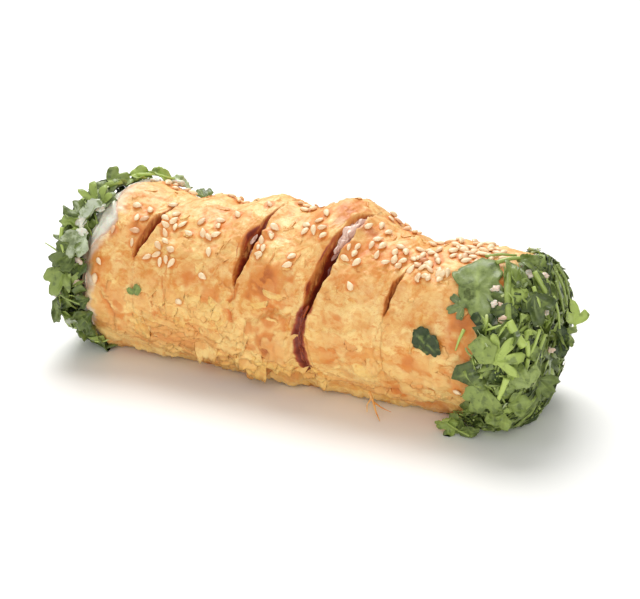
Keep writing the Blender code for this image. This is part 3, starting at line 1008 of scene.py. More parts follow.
def paint_crust(spots, x, phi, fine, flakes, crack, down, slope, opening, part, slash):
    """Where the crust is toasted, golden, soaked with sauce or torn open in layers; with painted shade
    darkening its cracks and round each seed, and painted bounce light brightening its lower sides.
    """
    around = CRUST_RADIUS * np.radians(phi)
    blur = 1 + 0.5 * grain(spots, 4 * MM, 21) + 0.35 * grain(spots, 1.8 * MM, 22)
    toast_and_shade = 0.3 * ease(0.1, 0.6, grain(spots, 9 * MM, 23)) + 0.25 * ease(0.15, 0.6, grain(spots, 3 * MM, 24))
    for spot_x, spot_phi, size, strength in TOASTED:
        away = np.hypot(x - spot_x * MM, around - CRUST_RADIUS * math.radians(spot_phi))
        toast_and_shade = np.maximum(toast_and_shade, strength * ease(1.2, 0.15, away / (size * MM) * blur))
    # Painted contact shadow round each seed, partly also egg wash toasted there.
    for seed_x, seed_phi in seed_places():
        away = np.hypot(x - seed_x, around - CRUST_RADIUS * math.radians(seed_phi))
        toast_and_shade = np.maximum(toast_and_shade, 0.55 * ease(2.5 * MM, 1.2 * MM, away))
    block_share = block_shape(x, phi, on_roll(x, phi))[2]
    toast_and_shade = np.maximum(toast_and_shade, 0.55 * block_share * ease(-0.2, 0.5, grain(spots, 5 * MM, 29) + 0.3))
    toast_and_shade = toast_and_shade * (1 - 0.4 * np.clip(flakes, 0, 1))
    # Painted shade: cracks, creases and the gaps between the sheets of dough are darkened.
    toast_and_shade = np.maximum(toast_and_shade, 0.75 * crack * (down < 0.1))
    strata = grain(np.stack((around * 0.12, slope * 4 * MM, slash * 5 * MM), axis=1), 0.8 * MM, 25)
    # Darker down the slope that leads into each slash.
    sloped = ease(0.05, 0.5, slope + 0.25 * strata) * opening**0.5
    toast_and_shade = np.maximum(toast_and_shade, 0.9 * sloped)
    lips = (part == SHOULDER) * ease(0.0, 0.5, grain(spots, 2.5 * MM, 28)) * opening
    toast_and_shade = np.maximum(toast_and_shade, 0.6 * lips * np.exp(-np.abs(x - slash_middle(slash, phi)) / (2.5 * MM)))
    # Golden and brighter low on the roll: painted light bounced up from below, besides the golden flakes.
    gold_and_bounce_light = ease(60, 110, np.abs(phi)) * (0.55 + 0.5 * grain(spots, 7 * MM, 26)) + 0.35 * np.clip(flakes, 0, 1)
    run = np.abs(x - drip_middle(phi)) / MM + 0.55 * grain(spots, 1.8 * MM, 27)
    drip = ease(2.7, 0.9, run) * ease(66, 76, phi) * ease(133, 126, phi) * 0.9
    wet = np.array((0.75, 1.0, 1.0, 0.12))[slash] * ease(0.2, 0.62, down + 0.6 * strata) * opening**0.3
    to_end = (x + HALF_LENGTH) / MM + 2.5 * grain(spots, 4 * MM, 34) + 0.8 * grain(spots, 1.5 * MM, 35)
    milk = 0.85 * ease(1.0, 0.3, to_end / np.interp(phi, *np.array(MILK_REACH).T)) * (down < 0.1)
    return {
        "milk": np.clip(milk, 0, 1),
        "toast_and_shade": np.clip(toast_and_shade, 0, 1),
        "gold_and_bounce_light": np.clip(gold_and_bounce_light, 0, 1),
        "soak": np.clip(np.maximum(wet, drip), 0, 1),
        "layers": np.clip(down * 2.2, 0, 1) * ease(0.0, 0.3, opening),
        "fine": fine + 0.25 * strata * sloped,
    }


def slash_middle(slash, phi):
    """x of the middle of each vertex's slash."""
    each = np.arange(len(phi))
    return np.stack([slash_place(s, phi)[0] for s in SLASHES])[slash, each]


def make_crust():
    """The baked tube of pastry with its slashes."""
    sizes = bpy.context.scene.roll_sizes
    parts, owners, shares = crust_columns(sizes.gap_columns)
    columns = len(parts) + 2 * TURN_IN - 1
    mesh, column, row = sheet_mesh("pastry_crust_baked", columns, sizes.crust_rows)
    phis = crust_rows(sizes.crust_rows)
    spots, painted = shape_crust(column, row, parts, owners, shares, phis)
    move_vertices(mesh, spots)
    for name, values in painted.items():
        paint(mesh, name, values)
    close_seams(mesh)
    add_piece("pastry_crust_baked", mesh, pastry_finish(), ["pastry_crust"])


# ------------------------------------------------------------------ filling, sauce and cream


FILLING_INSET = 2.4 * MM  # how far inside the ends of the crust the filling stops
FILLING_GAP = 1.2 * MM  # how far inside the wall of the crust its surface lies


def make_filling():
    """The saucy filling that shows at the bottom of the slashes."""
    columns, rows = 260, 120
    mesh, column, row = sheet_mesh("chicken_filling_saucy", columns, rows)
    phi = -180 + 360 * row / rows
    x = (2 * column / columns - 1) * (HALF_LENGTH - FILLING_INSET)
    base = on_roll(x, phi, -CRUST_WALL)
    seam = ease(0, 25, 180 - np.abs(phi))
    lift = 0.9 * grain(base, 4 * MM, 31) + 0.5 * grain(base * (1, 0.5, 0.5), 1.6 * MM, 32)
    spots = on_roll(x, phi, -CRUST_WALL - FILLING_GAP + lift * seam * MM, floor=CRUST_WALL * 0.8)
    poles = (column == 0) | (column == columns)
    spots[poles] = np.stack((x, 0 * x, 0 * x + AXIS_HEIGHT), axis=1)[poles]
    move_vertices(mesh, spots)
    close_seams(mesh)
    add_piece("chicken_filling_saucy", mesh, filling_finish(), ["chicken_filling"])


def shred_template(segments=8):
    """A shred of meat: a long rounded strand, its size 1 along X."""
    bm = bmesh.new()
    bmesh.ops.create_uvsphere(bm, u_segments=segments, v_segments=segments + 2, radius=0.5)
    bmesh.ops.rotate(bm, verts=bm.verts, matrix=Matrix.Rotation(math.pi / 2, 3, "Y"))
    bmesh.ops.scale(bm, verts=bm.verts, vec=(1, 0.28, 0.2))
    return mesh_from(bm, "shred")


# Larger bits of meat high in the third slash: x in mm, phi, length in mm, how saucy, lift in mm
MEAT_BITS = (
    (15.4, 14, 9.0, 0.0, -1.2),
    (17.0, 6, 6.5, 0.05, -1.1),
    (14.4, 24, 6.5, 0.1, -1.6),
    (16.0, 20, 5.0, 0.45, -1.9),
    (13.6, 31, 5.0, 0.7, -1.9),
    (14.8, 9, 4.0, 0.55, -1.7),
    (-14.0, 30, 3.6, 0.15, -1.8),
    (-13.2, 40, 3.4, 0.7, -2.2),
)


def make_shreds():
    """Shreds of meat that show in the slashes, the largest and palest high in the third."""
    rng = np.random.default_rng(41)
    template, heap = shred_template(), Heap()
    flat = vertex_places(template)
    for slash, many in zip(SLASHES, (14, 20, 30, 0)):
        upper = slash.upper_phi + slash.deep_from * (slash.lower_phi - slash.upper_phi) + 6
        for _ in range(many):
            phi = rng.uniform(upper, slash.lower_phi - 10)
            centre, opening, deep = slash_place(slash, np.array([phi]))
            x = centre[0] + rng.uniform(-0.2, 0.5) * slash.width * opening[0]
            size = rng.uniform(2.5, 5.0) * MM
            local = flat * size
            local[:, 2] += grain(local, 2 * MM, int(rng.integers(99))) * 0.4 * MM
            local[:, 2] += -slash.depth * deep[0] + rng.uniform(0.0, 0.9) * MM
            yaw = 90 + rng.normal(0, 25) + (12 if slash is SLASHES[2] else 5)
            heap.add(template, laid_on_roll(local, x, phi, yaw, on_roll), rng.uniform(0.4, 1.0))
    bit = shred_template(24)
    for index, (x, phi, size, shade, lift) in enumerate(MEAT_BITS):
        local = vertex_places(bit) * (size * MM, size * MM * 1.3, size * MM)
        lumps = grain(local, 2.2 * MM, index) + 0.7 * grain(local * (0.3, 1, 1), 0.8 * MM, index + 20)
        raised = np.stack((0 * lumps, 0 * lumps, lumps * 0.5 * MM), axis=1)
        local = local * (1 + 0.35 * lumps[:, None]) + raised
        local[:, 2] += lift * MM
        heap.add(bit, laid_on_roll(local, x * MM, phi, 105, on_roll), shade)
    bpy.data.meshes.remove(template)
    bpy.data.meshes.remove(bit)
    heap.show("chicken_shreds", meat_finish(), "filling")


def make_sauce():
    """The run of sauce from the third slash down the fold below it."""
    columns, rows = 12, 110
    mesh, column, row, layer = sheet_mesh("sauce_run", columns, rows, closed=True)
    down = row / rows
    across = 2 * column / columns - 1
    phi = 71 + 58 * down
    line = np.stack((down, 0 * down, np.sign(across) * 3), axis=1)
    half = 0.62 + 0.22 * grain(line, 0.16, 51) + 0.05 * grain(line, 0.05, 52) + 0.2 * bell((down - 0.8) / 0.3)
    half = half * np.sqrt(np.clip(np.minimum(down / 0.04, (1 - down) / 0.25), 0, 1))
    x = drip_middle(phi) + across * np.maximum(half, 0.05) * MM
    film = 0.18 * np.sqrt(np.clip(1 - across**2, 0, 1)) * (1 + 0.3 * grain(line, 0.1, 53))
    lift = np.where(np.abs(across) > 0.99, -0.4, film - 0.05) * MM
    ends = (row == 0) | (row == rows)
    move_vertices(mesh, crust_point(x, phi, np.where(ends, -0.4 * MM, lift) - 0.5 * MM * layer))
    paint(mesh, "shade", ease(0.35, 0.95, np.abs(across)) * 0.9)
    close_seams(mesh)
    add_piece("sauce_run", mesh, sauce_finish())


def make_cream(end):
    """Cream over one end of the crust, thick in places and thinned to nothing at its wandering edge."""
    side = ENDS[end][0]
    columns, rows = 44, 220
    mesh, column, row = sheet_mesh(f"cream_{end}_spread", columns, rows)
    share = column / columns
    phi = -180 + 360 * row / rows
    rim = np.stack((np.cos(np.radians(phi)), np.sin(np.radians(phi)), 0 * phi), axis=1)
    reach = np.interp(phi, *np.array(CREAM_REACH[end]).T) * MM
    reach = np.maximum(reach * (1 + 0.35 * grain(rim, 0.6, 61 + side) + 0.12 * grain(rim, 0.2, 63)), 0.4 * MM)
    along = np.clip(share / CREAM_TURN, 0, 1)
    quarter = np.clip((share - CREAM_TURN) / (1 - CREAM_TURN), 0, 1) * np.pi / 2
    x = side * (HALF_LENGTH - reach * (1 - along) + CREAM_FACE[end] * np.sin(quarter))
    thick = ease(1 * MM, 5 * MM, reach)
    blob = ease(0, 0.3, along) * (0.3 + 0.45 * thick + 0.45 * grain(on_roll(x, phi), 4 * MM, 65))
    proud = np.where(column == 0, -0.9 * MM, CREAM_DEPTH * blob - 0.1 * MM)
    hug = crust_relief(np.clip(x, -HALF_LENGTH, HALF_LENGTH), phi)[0]
    draw_in = np.maximum(np.cos(quarter), 0) ** CREAM_ROUND[end]
    spots = on_roll(x, phi, hug + proud, draw_in, floor=0.3 * MM)
    inner = column == 0
    spots[inner, 0] = side * (HALF_LENGTH - reach[inner] * 0.9)
    move_vertices(mesh, spots)
    paint(mesh, "shade", ease(0.5, 0.1, blob))
    close_seams(mesh, capped=True)
    add_piece(f"cream_{end}_spread", mesh, cream_finish(), [f"cream_{end}"])


# Dabs of cream and of meat stuck among the herbs: x, y, z in mm, size in mm, how pink
DABS = (
    (64.4, -16.9, 43.8, 2.6, 0.5),
    (65.6, -20.8, 41.0, 2.2, 0.3),
    (67.3, -20.0, 40.6, 1.8, 0.7),
    (68.8, -22.6, 37.6, 2.4, 0.8),
    (70.8, -7.5, 46.0, 3.2, 0.3),
    (73.5, -3.0, 44.6, 2.6, 0.5),
    (76.6, -9.5, 36.5, 2.0, 0.3),
    (77.5, -6.0, 24.0, 2.2, 0.6),
    (72.5, -25.0, 24.5, 1.4, 0.0),
    (-77.5, -25.0, 21.5, 4.6, 0.0),
    (-76.8, -26.0, 24.0, 3.0, 0.0),
    (-70.5, -18.5, 43.2, 4.4, 0.0),
    (-69.0, -21.0, 40.8, 4.0, 0.0),
    (-66.8, -13.0, 46.6, 3.4, 0.1),
    (-68.0, -24.8, 33.0, 2.6, 0.5),
    (-67.9, -26.4, 26.0, 2.8, 0.6),
    (-67.6, -26.4, 21.0, 2.4, 0.5),
    (-55.0, 14.0, 48.6, 5.0, 0.0),
    (-60.0, 8.0, 50.6, 4.4, 0.1),
)


def make_dabs():
    """The dabs of cream and of meat among the herbs."""
    bm = bmesh.new()
    bmesh.ops.create_icosphere(bm, subdivisions=3, radius=0.5)
    mesh = mesh_from(bm, "cream_dab")
    heap = Heap()
    ball = vertex_places(mesh)
    for index, (x, y, z, size, pink) in enumerate(DABS):
        outward = Vector((0.3 * math.copysign(1, x), y, z - AXIS_HEIGHT / MM)).normalized()
        lumpy = ball * (1 + 0.6 * grain(ball, 0.45, index)[:, None]) * (1, 0.75, 0.42)
        turn = np.array(facing((0, 0, 0), outward, index * 1.3).to_3x3())
        heap.add(mesh, lumpy * size * MM @ turn.T + np.array((x, y, z)) * MM, pink)
    bpy.data.meshes.remove(mesh)
    heap.show("cream_dabs", cream_finish(), "cream")


# ------------------------------------------------------------------ seeds and flakes


def seed_template():
    """A sesame seed: a flattened drop, its size 1 along X."""
    bm = bmesh.new()
    bmesh.ops.create_uvsphere(bm, u_segments=10, v_segments=6, radius=0.5)
    for vertex in bm.verts:
        x, y, z = vertex.co
        narrow = 1 - 0.6 * max(x + 0.08, 0) / 0.58
        vertex.co = (x, y * 0.62 * narrow, z * 0.34 * (0.7 + 0.3 * narrow))
    return mesh_from(bm, "seed")


SEED_ROOM = 2.2 * MM  # between the middles of two seeds, where there is room
SEED_TRIES = 40


def seed_places():
    """x and phi of every sesame seed, clear of the slashes and, where there is room, of each other."""
    rng = np.random.default_rng(73)
    taken = []
    for centre_x, centre_phi, spread_x, spread_phi, many in SEED_GROUPS:
        for _ in range(many):
            for _ in range(SEED_TRIES):
                x = (centre_x + spread_x * rng.uniform(-1, 1)) * MM
                phi = centre_phi + spread_phi * rng.uniform(-1, 1)
                around = CRUST_RADIUS * math.radians(phi)
                clear = all(
                    math.hypot(x - other_x, around - CRUST_RADIUS * math.radians(other_phi)) > SEED_ROOM
                    for other_x, other_phi in taken
                )
                if clear and not in_slash(x, phi, 0.3 * MM):
                    break
            taken.append((x, phi))
    return taken


def make_seeds():
    """The sesame seeds, each turned and tilted a little, some more toasted than others."""
    rng = np.random.default_rng(74)
    length = bpy.context.scene.roll_sizes.seed_length
    template, heap = seed_template(), Heap()
    for x, phi in seed_places():
        point, outward = surface_frame(crust_point, (x, phi), 0.8 * MM, 2, (x, 0, AXIS_HEIGHT))
        matrix = facing(point + outward * 0.5 * MM, outward, rng.uniform(0, 2 * math.pi),
                        rng.normal(0, 0.17), rng.normal(0, 0.17))
        shade = rng.choice((0.0, 0.08, 0.2, 0.5, 0.9), p=(0.4, 0.28, 0.2, 0.09, 0.03))
        stretch = (1, rng.uniform(0.88, 1.1), rng.uniform(0.85, 1.15))
        heap.add(template, placed(template, matrix, length * rng.uniform(0.88, 1.12), stretch), shade)
    bpy.data.meshes.remove(template)
    heap.show("sesame_seeds", seed_finish(), "crust")


def in_slash(x, phi, margin):
    """Whether a place on the crust is over an open slash."""
    for slash in SLASHES:
        centre, opening, _ = slash_place(slash, np.array([phi]))
        reach = slash.width * opening[0]
        if opening[0] > 0.1 and centre[0] - 0.7 * reach - margin < x < centre[0] + 0.35 * reach + margin:
            return True
    return False


def flake_template(seed, columns=16, rows=6):
    """A ragged flake of pastry: 1 long, 1 wide from its held edge at Y = 0 to its free edge."""
    mesh, column, row, layer = sheet_mesh("flake", columns, rows, closed=True)
    u, v = column / columns, row / rows
    reach = 0.8 + 0.22 * line_grain(u, 0.4, seed) + 0.09 * line_grain(u, 0.15, seed + 1)
    reach = reach * np.sqrt(np.clip(np.minimum(u, 1 - u) / 0.14, 0.1, 1))
    skew = 0.12 * line_grain(v, 0.5, seed + 3) + 0.05 * line_grain(v, 0.2, seed + 4)
    wave = 0.35 * grain(np.stack((u, v, 0 * u), axis=1), 0.35, seed + 2)
    move_vertices(mesh, np.stack((u - 0.5 + skew, v * reach, wave * v - 0.2 * layer), axis=1))
    return mesh


# Rows of flakes: x from and to in mm, phi from and to, length and width in mm, how far the free edge lifts
# in mm, how many, and how toasted
FLAKE_BANDS = (
    ((-44, -8), (100, 116), 12, 3.6, 0.8, 14, 0.25),
    ((-40, -10), (108, 124), 13, 3.6, 1.1, 14, 0.4),
    ((-46, -12), (116, 131), 11, 3.4, 1.4, 14, 0.25),
    ((-25, -8), (113, 117), 7.5, 6.2, 3.8, 8, 0.0),
    ((-22, -10), (102, 108), 8.0, 5.0, 1.2, 5, 0.0),
    ((-9, 2), (112, 117), 7.0, 5.4, 2.6, 5, 0.05),
    ((4, 13), (127, 131), 6, 2.6, 0.8, 4, 0.0),
    ((-44, -30), (78, 100), 6, 4.0, 0.8, 7, 0.1),
    ((-30, -12), (74, 98), 6, 4.2, 0.8, 9, 0.15),
    ((-62, -44), (112, 126), 7, 2.6, 0.5, 8, 0.3),
    ((12, 40), (118, 134), 7, 2.2, 0.4, 10, 0.2),
    ((40, 58), (112, 132), 6, 2.2, 0.4, 7, 0.3),
    ((-55, 55), (-132, -108), 9, 2.6, 0.5, 26, 0.3),
)

# Flakes that stand out on their own: x in mm, phi, length and width in mm, yaw, rise in mm, how toasted
LONE_FLAKES = (
    (-34.0, 74, 7.0, 7.6, 4, 0.35, 0.25),
    (-27.4, 55, 3.0, 4.2, -8, 0.25, 0.0),
    (-20.7, 78, 3.2, 3.2, 30, 0.3, 0.0),
    (-47.2, 108, 6.0, 6.4, -5, 0.6, 0.1),
    (-25.5, 86, 7.0, 5.2, 14, 0.5, 0.3),
    (-17.5, 96, 6.0, 5.0, -20, 0.6, 0.15),
    (-15.5, 78, 4.0, 3.4, 24, 0.3, 0.1),
    (-34.6, 36, 3.6, 1.8, 10, 0.2, 0.0),
    (56.8, 54, 3.8, 3.2, 20, 1.0, 0.0),
    (46.2, 122, 5.5, 4.6, 0, 0.4, 0.0),
    (25.0, 90, 4.0, 3.4, 35, 0.4, 0.5),
    (-1.0, 66, 7.0, 2.6, 8, 0.5, 0.1),
    (-6.0, 74, 6.0, 2.8, -16, 0.5, 0.15),
)
LOOSE_FLAKES = 150


def make_flakes():
    """The rows of flakes, those that stand out on their own, and loose crumbs all over."""
    rng = np.random.default_rng(87)
    heap = Heap()
    templates = [flake_template(seed) for seed in range(30, 80, 5)]
    small = [flake_template(seed, 7, 2) for seed in range(80, 110, 5)]
    for (x0, x1), (phi0, phi1), length, width, rise, many, toasted in FLAKE_BANDS:
        for place in range(many):
            share = (place + rng.uniform(0, 1)) / many
            x = (x0 + (x1 - x0) * share) * MM
            phi = phi0 + (phi1 - phi0) * share + rng.normal(0, 2.0)
            stretch = np.array((length * rng.uniform(0.6, 1.2), width * rng.uniform(0.7, 1.3), 1.0)) * MM
            shade = toasted * rng.uniform(0.3, 1.7)
            yaw = rng.normal(-3, 7)
            add_flake(heap, templates, rng, (x, phi, yaw), stretch, rise * rng.uniform(0.5, 1.2), shade)
    for x, phi, length, width, yaw, rise, toasted in LONE_FLAKES:
        add_flake(heap, templates, rng, (x * MM, phi, yaw), np.array((length, width, 1)) * MM, rise, toasted)
    for _ in range(LOOSE_FLAKES):
        x, phi = rng.uniform(-62, 62) * MM, rng.uniform(-125, 125)
        stretch = np.array((rng.uniform(1.5, 5), rng.uniform(0.8, 2.4), 0.6)) * MM
        yaw, rise, shade = rng.uniform(0, 360), rng.uniform(0.1, 0.3), rng.uniform(0, 0.6)
        if not in_slash(x, phi, 2.5 * MM):
            add_flake(heap, small, rng, (x, phi, yaw), stretch, rise, shade)
    for template in templates + small:
        bpy.data.meshes.remove(template)
    mesh = heap.finish("pastry_flakes")
    # The fine measure paints the flakes paler as raised relief, and the gold one gives them the pale lift of
    # the lower sides' painted bounce light.
    for name, values in (("fine", 0.32), ("gold_and_bounce_light", 0.75), ("soak", 0), ("layers", 0)):
        paint(mesh, name, values)
    copy_shade_to_toast(mesh)
    add_piece("pastry_flakes", mesh, pastry_finish("flaky_pastry"))


def add_flake(heap, templates, rng, place, stretch, rise, shade):
    """Lays a flake with its held edge sunk into the crust and its free edge rise mm above it."""
    template = templates[rng.integers(len(templates))]
    x, phi, yaw = place
    local = vertex_places(template) * stretch
    out = np.clip(local[:, 1] / stretch[1], 0, 1.2)
    local[:, 2] += -0.3 * MM + rise * MM * out**1.6 + 0.42 * MM * np.minimum(out * 4, 1)
    heap.add(template, laid_on_roll(local, x, phi, yaw), np.clip(shade, 0, 1))


def copy_shade_to_toast(mesh):
    """Lets the pastry's finish brown each flake by its own shade."""
    values = np.empty(len(mesh.vertices), dtype=np.float32)
    mesh.attributes["shade"].data.foreach_get("value", values)
    paint(mesh, "toast_and_shade", values)


def tube_between(points, radius, tip=0.25, sides=7, steps=12, flat=1.0):
    """A closed strand through points in mm, radius mm thick, and tip of that at its far end."""
    bm = bmesh.new()
    bmesh.ops.create_cone(bm, cap_ends=True, cap_tris=True, segments=sides, radius1=1, radius2=1, depth=1)
    uprights = [edge for edge in bm.edges if abs(edge.verts[0].co.z - edge.verts[1].co.z) > 0.5]
    bmesh.ops.subdivide_edges(bm, edges=uprights, cuts=steps)
    path = np.array(points) * MM
    reached = np.linspace(0, 1, len(path))

    def at(share):
        return Vector([np.interp(share, reached, path[:, k]) for k in range(3)])

    for vertex in bm.verts:
        share = vertex.co.z + 0.5
        turn = (at(min(share + 0.12, 1)) - at(max(share - 0.12, 0))).to_track_quat("Z", "Y")
        width = radius * MM * (1 + (tip - 1) * share)
        vertex.co = at(share) + turn @ Vector((vertex.co.x * width, vertex.co.y * width * flat, 0))
    bm.normal_update()
    mesh = mesh_from(bm, "strand")
    paint(mesh, "vein", 0.0)
    return mesh


# Strands of pastry hanging from the lower edge: points of x, y and z in mm, and radius in mm
STRANDS = (
    (((28.5, -21.0, 7.2), (30.5, -22.2, 4.6), (31.6, -23.0, 2.4), (33.6, -24.6, 0.5)), 0.5),
    (((30.5, -22.2, 4.8), (33.2, -22.8, 3.9), (36.4, -23.0, 3.2)), 0.36),
    (((29.6, -21.6, 5.8), (28.8, -23.0, 4.0), (29.4, -24.2, 2.2)), 0.36),
)


def make_strands():
    """The strand of pastry that hangs from the lower edge, with its two branches."""
    heap = Heap()
    for points, radius in STRANDS:
        strand = tube_between(points, radius, flat=0.6)
        heap.add(strand, vertex_places(strand), 0.0)
        bpy.data.meshes.remove(strand)
    mesh = heap.finish("pastry_strands")
    # The fine and gold measures paint the strands paler, as raised relief and as the lower sides with painted
    # bounce light.
    for name, values in (("fine", 0.2), ("gold_and_bounce_light", 0.5), ("soak", 0), ("layers", 0), ("toast_and_shade", 0.05)):
        paint(mesh, name, values)
    add_piece("pastry_strands", mesh, pastry_finish("pastry_strand"))


# ------------------------------------------------------------------ parsley


def lobed(turn, angles, width, power, teeth):
    """Reach of a lobed leaf from its foot, turn being the angle from its tip in degrees."""
    reach = np.full(len(turn), 0.14)
    for angle in angles:
        length = 1 - 0.15 * abs(angle) / 60
        reach = np.maximum(reach, length * bell((turn - angle) / width) ** power)
    return reach * toothed(turn, teeth, 6.5)


def toothed(turn, teeth, pace):
    """The rounded, uneven teeth round a leaf, as a factor of its reach."""
    uneven = turn + 9 * line_grain(turn, 40, 5)
    return 1 + teeth * (2 * np.abs(np.sin(np.radians(uneven) * pace)) - 1)


def oval(turn, slender):
    """Reach of an oval 1 long and slender wide, from its middle."""
    return 0.5 / np.hypot(np.cos(np.radians(turn)), np.sin(np.radians(turn)) / slender)


def wavy(turn, much, size, seed):
    """Uneven sides, as a factor of a leaf's reach."""
    return 1 + much * line_grain(turn, size, seed)


def cut_reach(turn, rng):
    """Reach of a leaf cut straight on four or five sides, from its middle."""
    sides = int(rng.integers(4, 6))
    angles = (np.arange(sides) + rng.uniform(-0.18, 0.18, sides)) * 360 / sides + 45
    reach = np.full(len(turn), 0.75)
    for angle, distance in zip(angles, rng.uniform(0.33, 0.46, sides)):
        reach = np.minimum(reach, distance / np.maximum(np.cos(np.radians(turn - angle)), 0.3))
    return reach


# A leaf's reach by its kind, from turn and a random generator
LEAF_KINDS = {
    "fan": lambda turn, rng: (
        lobed(turn, (-50, 0, 50), 44, 0.4, 0.07) * wavy(turn, 0.3, 35, rng.integers(99))
    ),
    "sprig": lambda turn, rng: lobed(turn, (-63, -21, 21, 63), 27, 0.42, 0.05),
    "trefoil": lambda turn, rng: lobed(turn, (-56, 0, 56), 38, 0.4, 0.09),
    "oval": lambda turn, rng: oval(turn, 0.55) * toothed(turn, 0.07, 6.5),
    "broad": lambda turn, rng: oval(turn, 0.74) * toothed(turn, 0.07, 5.5) * wavy(turn, 0.45, 50, 9),
    "blade": lambda turn, rng: oval(turn, 0.26),
    "cut": cut_reach,
}
LOBED_KINDS = ("fan", "sprig", "trefoil")
LOBED_FOOT = 0.45  # how far a lobed leaf is moved back, so that its middle is at 0
LEAF_THICK = 0.024


def leaf_form(kind, seed, fold, curl, roll, crumple, rings=5, segments=60):
    """A thin closed leaf about 1 long, its tip towards X, folded and curled along X and rolled about it."""
    rng = np.random.default_rng(seed)
    bm = bmesh.new()
    bmesh.ops.create_circle(bm, cap_ends=True, cap_tris=True, segments=segments, radius=1)
    spokes = [edge for edge in bm.edges if not edge.is_boundary]
    bmesh.ops.subdivide_edges(bm, edges=spokes, cuts=rings - 1)
    bmesh.ops.solidify(bm, geom=bm.faces[:], thickness=1)
    mesh = mesh_from(bm, "leaf")
    places = vertex_places(mesh)
    turn = np.degrees(np.arctan2(places[:, 1], places[:, 0]))
    out = np.hypot(places[:, 0], places[:, 1])
    reach = LEAF_KINDS[kind](turn, rng) * out
    reach = reach * (1 + 0.1 * line_grain(turn, 50, seed) * (180 - np.abs(turn)) / 180)
    x, y = reach * np.cos(np.radians(turn)), reach * np.sin(np.radians(turn))
    x = x - (LOBED_FOOT if kind in LOBED_KINDS else 0)
    flat = np.stack((x, y, 0 * x), axis=1)
    z = fold * (np.sqrt(y**2 + 0.004) - 0.06) - curl * 0.7 * x**2
    z = z + crumple * (grain(flat, 0.5, seed) + 0.5 * grain(flat, 0.22, seed + 1) * ease(0.1, 0.5, out))
    z = z + LEAF_THICK * np.rint(np.abs(places[:, 2]))
    if roll:
        radius = 1 / roll
        y, z = (radius - z) * np.sin(y / radius), radius - (radius - z) * np.cos(y / radius)
    move_vertices(mesh, np.stack((x, y, z), axis=1))
    ribs = np.abs(np.sin(np.radians(turn) * 3.6)) if kind in LOBED_KINDS else np.abs(flat[:, 1]) * 6
    paint(mesh, "vein", np.exp(-((ribs / 0.22) ** 2)) * ease(1.0, 0.2, out) * ease(0.0, 0.15, out))
    return mesh


def cut_template(seed):
    """A bit of leaf with straight cut edges, 1 long."""
    rng = np.random.default_rng(seed)
    mesh, column, row, layer = sheet_mesh("cut", 4, 3, closed=True)
    u, v = column / 4, row / 3
    corners = np.array(((-0.5, -0.3), (0.5, -0.34), (0.42, 0.3), (-0.46, 0.36))) + rng.normal(0, 0.13, (4, 2))
    low = corners[0] + (corners[1] - corners[0]) * u[:, None]
    high = corners[3] + (corners[2] - corners[3]) * u[:, None]
    flat = low + (high - low) * v[:, None]
    curl, twist = rng.uniform(-0.7, 0.7), rng.uniform(-0.6, 0.6)
    z = curl * flat[:, 0] ** 2 + twist * flat[:, 0] * flat[:, 1] + rng.uniform(-0.8, 0.8) * flat[:, 1] ** 2
    move_vertices(mesh, np.column_stack((flat, z + 0.04 * layer)))
    paint(mesh, "vein", bell(flat[:, 1] / 0.12) * 0.6)
    return mesh


STEM_THICK = 0.05  # radius of a strewn stem at its foot, its length being 1
STEM_TIP = 0.8  # what is left of that at its tip


def stem_template(seed):
    """A bent cut stem, 1 long, paler at its cut ends."""
    rng = np.random.default_rng(seed)
    bm = bmesh.new()
    bmesh.ops.create_cone(
        bm, cap_ends=True, cap_tris=True, segments=6, depth=1, radius1=STEM_THICK,
        radius2=STEM_THICK * STEM_TIP,
    )
    uprights = [edge for edge in bm.edges if abs(edge.verts[0].co.z - edge.verts[1].co.z) > 0.5]
    bmesh.ops.subdivide_edges(bm, edges=uprights, cuts=5)
    bmesh.ops.rotate(bm, verts=bm.verts, matrix=Matrix.Rotation(math.pi / 2, 3, "Y"))
    bend, sway = rng.uniform(-0.45, 0.45), rng.uniform(-0.2, 0.2)
    for vertex in bm.verts:
        along = vertex.co.x
        vertex.co.z += bend * along**2
        vertex.co.y += sway * math.sin(along * 4)
    mesh = mesh_from(bm, "stem")
    paint(mesh, "vein", ease(0.42, 0.5, np.abs(vertex_places(mesh)[:, 0])) * 0.7)
    return mesh


def shred_leaf_template(seed):
    """A thin twisted shred of leaf, 1 long."""
    rng = np.random.default_rng(seed)
    mesh, column, row, layer = sheet_mesh("leaf_shred", 6, 1, closed=True)
    u, v = column / 6 - 0.5, row - 0.5
    width = 0.13 * (1 - 1.2 * u**2)
    turn = rng.uniform(-1.5, 1.5) * u
    y = v * width * np.cos(turn) + rng.uniform(-0.3, 0.3) * np.sin(u * 4) * 0.4
    z = v * width * np.sin(turn) + rng.uniform(-0.6, 0.6) * u**2
    y = y - 0.03 * np.sin(turn) * layer
    z = z + 0.03 * np.cos(turn) * layer
    move_vertices(mesh, np.stack((u, y, z), axis=1))
    paint(mesh, "vein", 0.0)
    return mesh


# How likely herbs are on each end's lap over the crust, and on its face: phi and share
LAP_COVER = {
    "left": ((-180, 0.5), (-100, 0.8), (-45, 0.35), (-15, 0.0), (60, 0.0), (110, 0.15), (180, 0.5)),
    "right": ((-180, 1), (-120, 0.9), (-60, 0.3), (-20, 0), (45, 0.0), (62, 0.35), (90, 0.8), (130, 1),
              (180, 1)),
}
FACE_COVER = {
    "left": ((-180, 1), (180, 1)),
    "right": ((-180, 1), (-60, 0.9), (-10, 0.5), (40, 0.8), (70, 1), (180, 1)),
}
FACE_SHARE = 0.3  # share of the herbs that is strewn evenly over the round face


